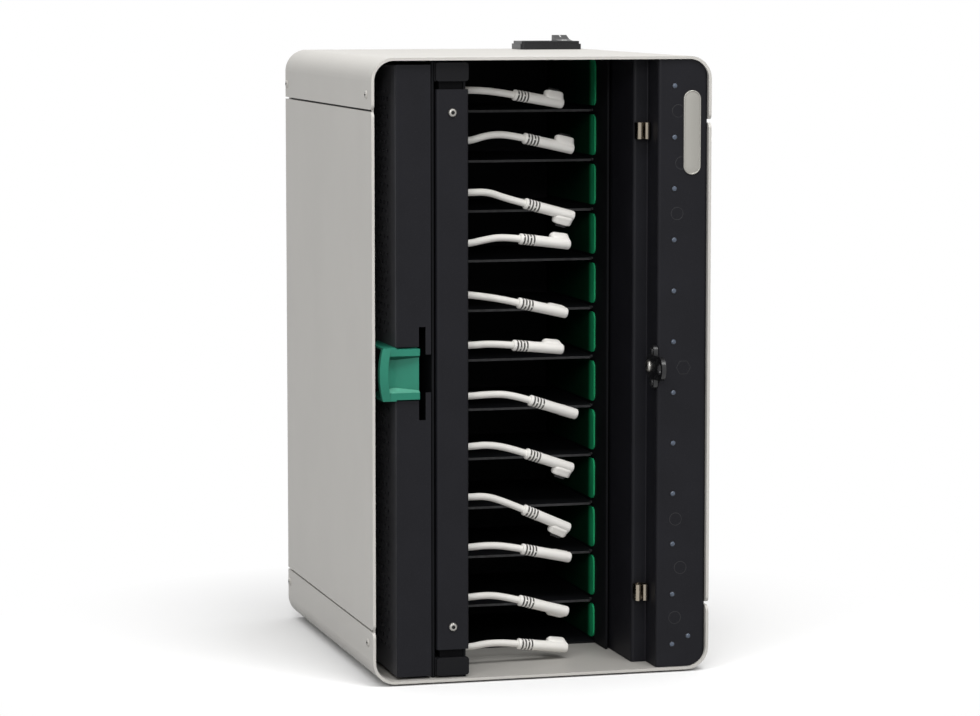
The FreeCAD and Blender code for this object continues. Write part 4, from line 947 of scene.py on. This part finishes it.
def seen_directly(tree):
    """One for camera, glossy and transmission rays, which see the white background."""
    paths = tree.nodes.new("ShaderNodeLightPath")
    total = paths.outputs["Is Camera Ray"]
    for kind in ("Is Glossy Ray", "Is Transmission Ray"):
        total = calculated(tree, "MAXIMUM", total, paths.outputs[kind])
    return total


def blend_shaders(tree, share, first, second, end):
    """Blends two shaders into the surface of an output node."""
    mix = tree.nodes.new("ShaderNodeMixShader")
    tree.links.new(share, mix.inputs["Fac"])
    tree.links.new(first, mix.inputs[1])
    tree.links.new(second, mix.inputs[2])
    tree.links.new(mix.outputs["Shader"], tree.nodes[end].inputs["Surface"])


def make_floor():
    """White floor that takes the part's shadow and fades to pure white away from it."""
    size = FLOOR_HALF_SIZE
    corners = [(-size, -size, 0), (size, -size, 0), (size, size, 0), (-size, size, 0)]
    mesh = bpy.data.meshes.new("floor")
    mesh.from_pydata(corners, [], [(0, 1, 2, 3)])
    floor = add_object("floor", mesh)
    material = bpy.data.materials.new("floor_white")
    material.use_nodes = True
    tree = material.node_tree
    tree.nodes.remove(tree.nodes["Principled BSDF"])
    seen = seen_directly(tree)
    colour = tree.nodes.new("ShaderNodeMix")
    colour.data_type = "RGBA"
    colour.inputs["A"].default_value = FLOOR_BOUNCE
    colour.inputs["B"].default_value = FLOOR_COLOUR
    tree.links.new(seen, colour.inputs["Factor"])
    matte = tree.nodes.new("ShaderNodeBsdfDiffuse")
    tree.links.new(colour.outputs["Result"], matte.inputs["Color"])
    glow = tree.nodes.new("ShaderNodeEmission")
    glow.inputs["Color"].default_value = WHITE
    place = tree.nodes.new("ShaderNodeTexCoord")
    spread = tree.nodes.new("ShaderNodeVectorMath")
    spread.operation = "LENGTH"
    tree.links.new(place.outputs["Object"], spread.inputs[0])
    fade = map_range(tree, spread.outputs["Value"], FADE_RANGE, (0, 1))
    share = calculated(tree, "MULTIPLY", seen, fade)
    blend_shaders(tree, share, matte.outputs["BSDF"], glow.outputs["Emission"], "Material Output")
    mesh.materials.append(material)


def make_world():
    """Sky that is bright overhead and weak at the horizon, and plain white where it is seen."""
    world = bpy.data.worlds.new("studio")
    bpy.context.scene.world = world
    world.use_nodes = True
    tree = world.node_tree
    ambient = tree.nodes["Background"]
    ambient.inputs["Color"].default_value = WHITE
    rise = map_range(tree, coordinate(tree, "Generated", "Z"), (0, 1), (SKY_HORIZON, SKY_ZENITH))
    tree.links.new(rise, ambient.inputs["Strength"])
    plain = tree.nodes.new("ShaderNodeBackground")
    plain.inputs["Color"].default_value = WHITE
    plain.inputs["Strength"].default_value = 1.0
    seen = seen_directly(tree)
    blend_shaders(tree, seen, ambient.outputs["Background"], plain.outputs["Background"], "World Output")


def soft_light(name, place, aim_height, size, power):
    """Square lamp that is aimed at the middle of the part."""
    light = bpy.data.lights.new(name, "AREA")
    light.shape = "SQUARE"
    light.size = size
    light.energy = power
    lamp = add_object(name, light)
    lamp.location = place
    sight = Vector((0, 0, aim_height)) - Vector(place)
    lamp.rotation_euler = sight.to_track_quat("-Z", "Y").to_euler()


def make_camera():
    """Camera of the photograph."""
    data = bpy.data.cameras.new("camera")
    data.sensor_width = CAMERA_SENSOR
    data.lens = CAMERA_LENS
    data.clip_end = CAMERA_RANGE
    camera = add_object("camera", data)
    camera.location = CAMERA_PLACE
    camera.rotation_euler = (math.pi / 2 - CAMERA_PITCH, 0, -CAMERA_YAW)
    bpy.context.scene.camera = camera


make_floor()
make_world()
for light in LIGHTS:
    soft_light(*light)
make_camera()
bpy.context.scene.view_settings.view_transform = "Standard"
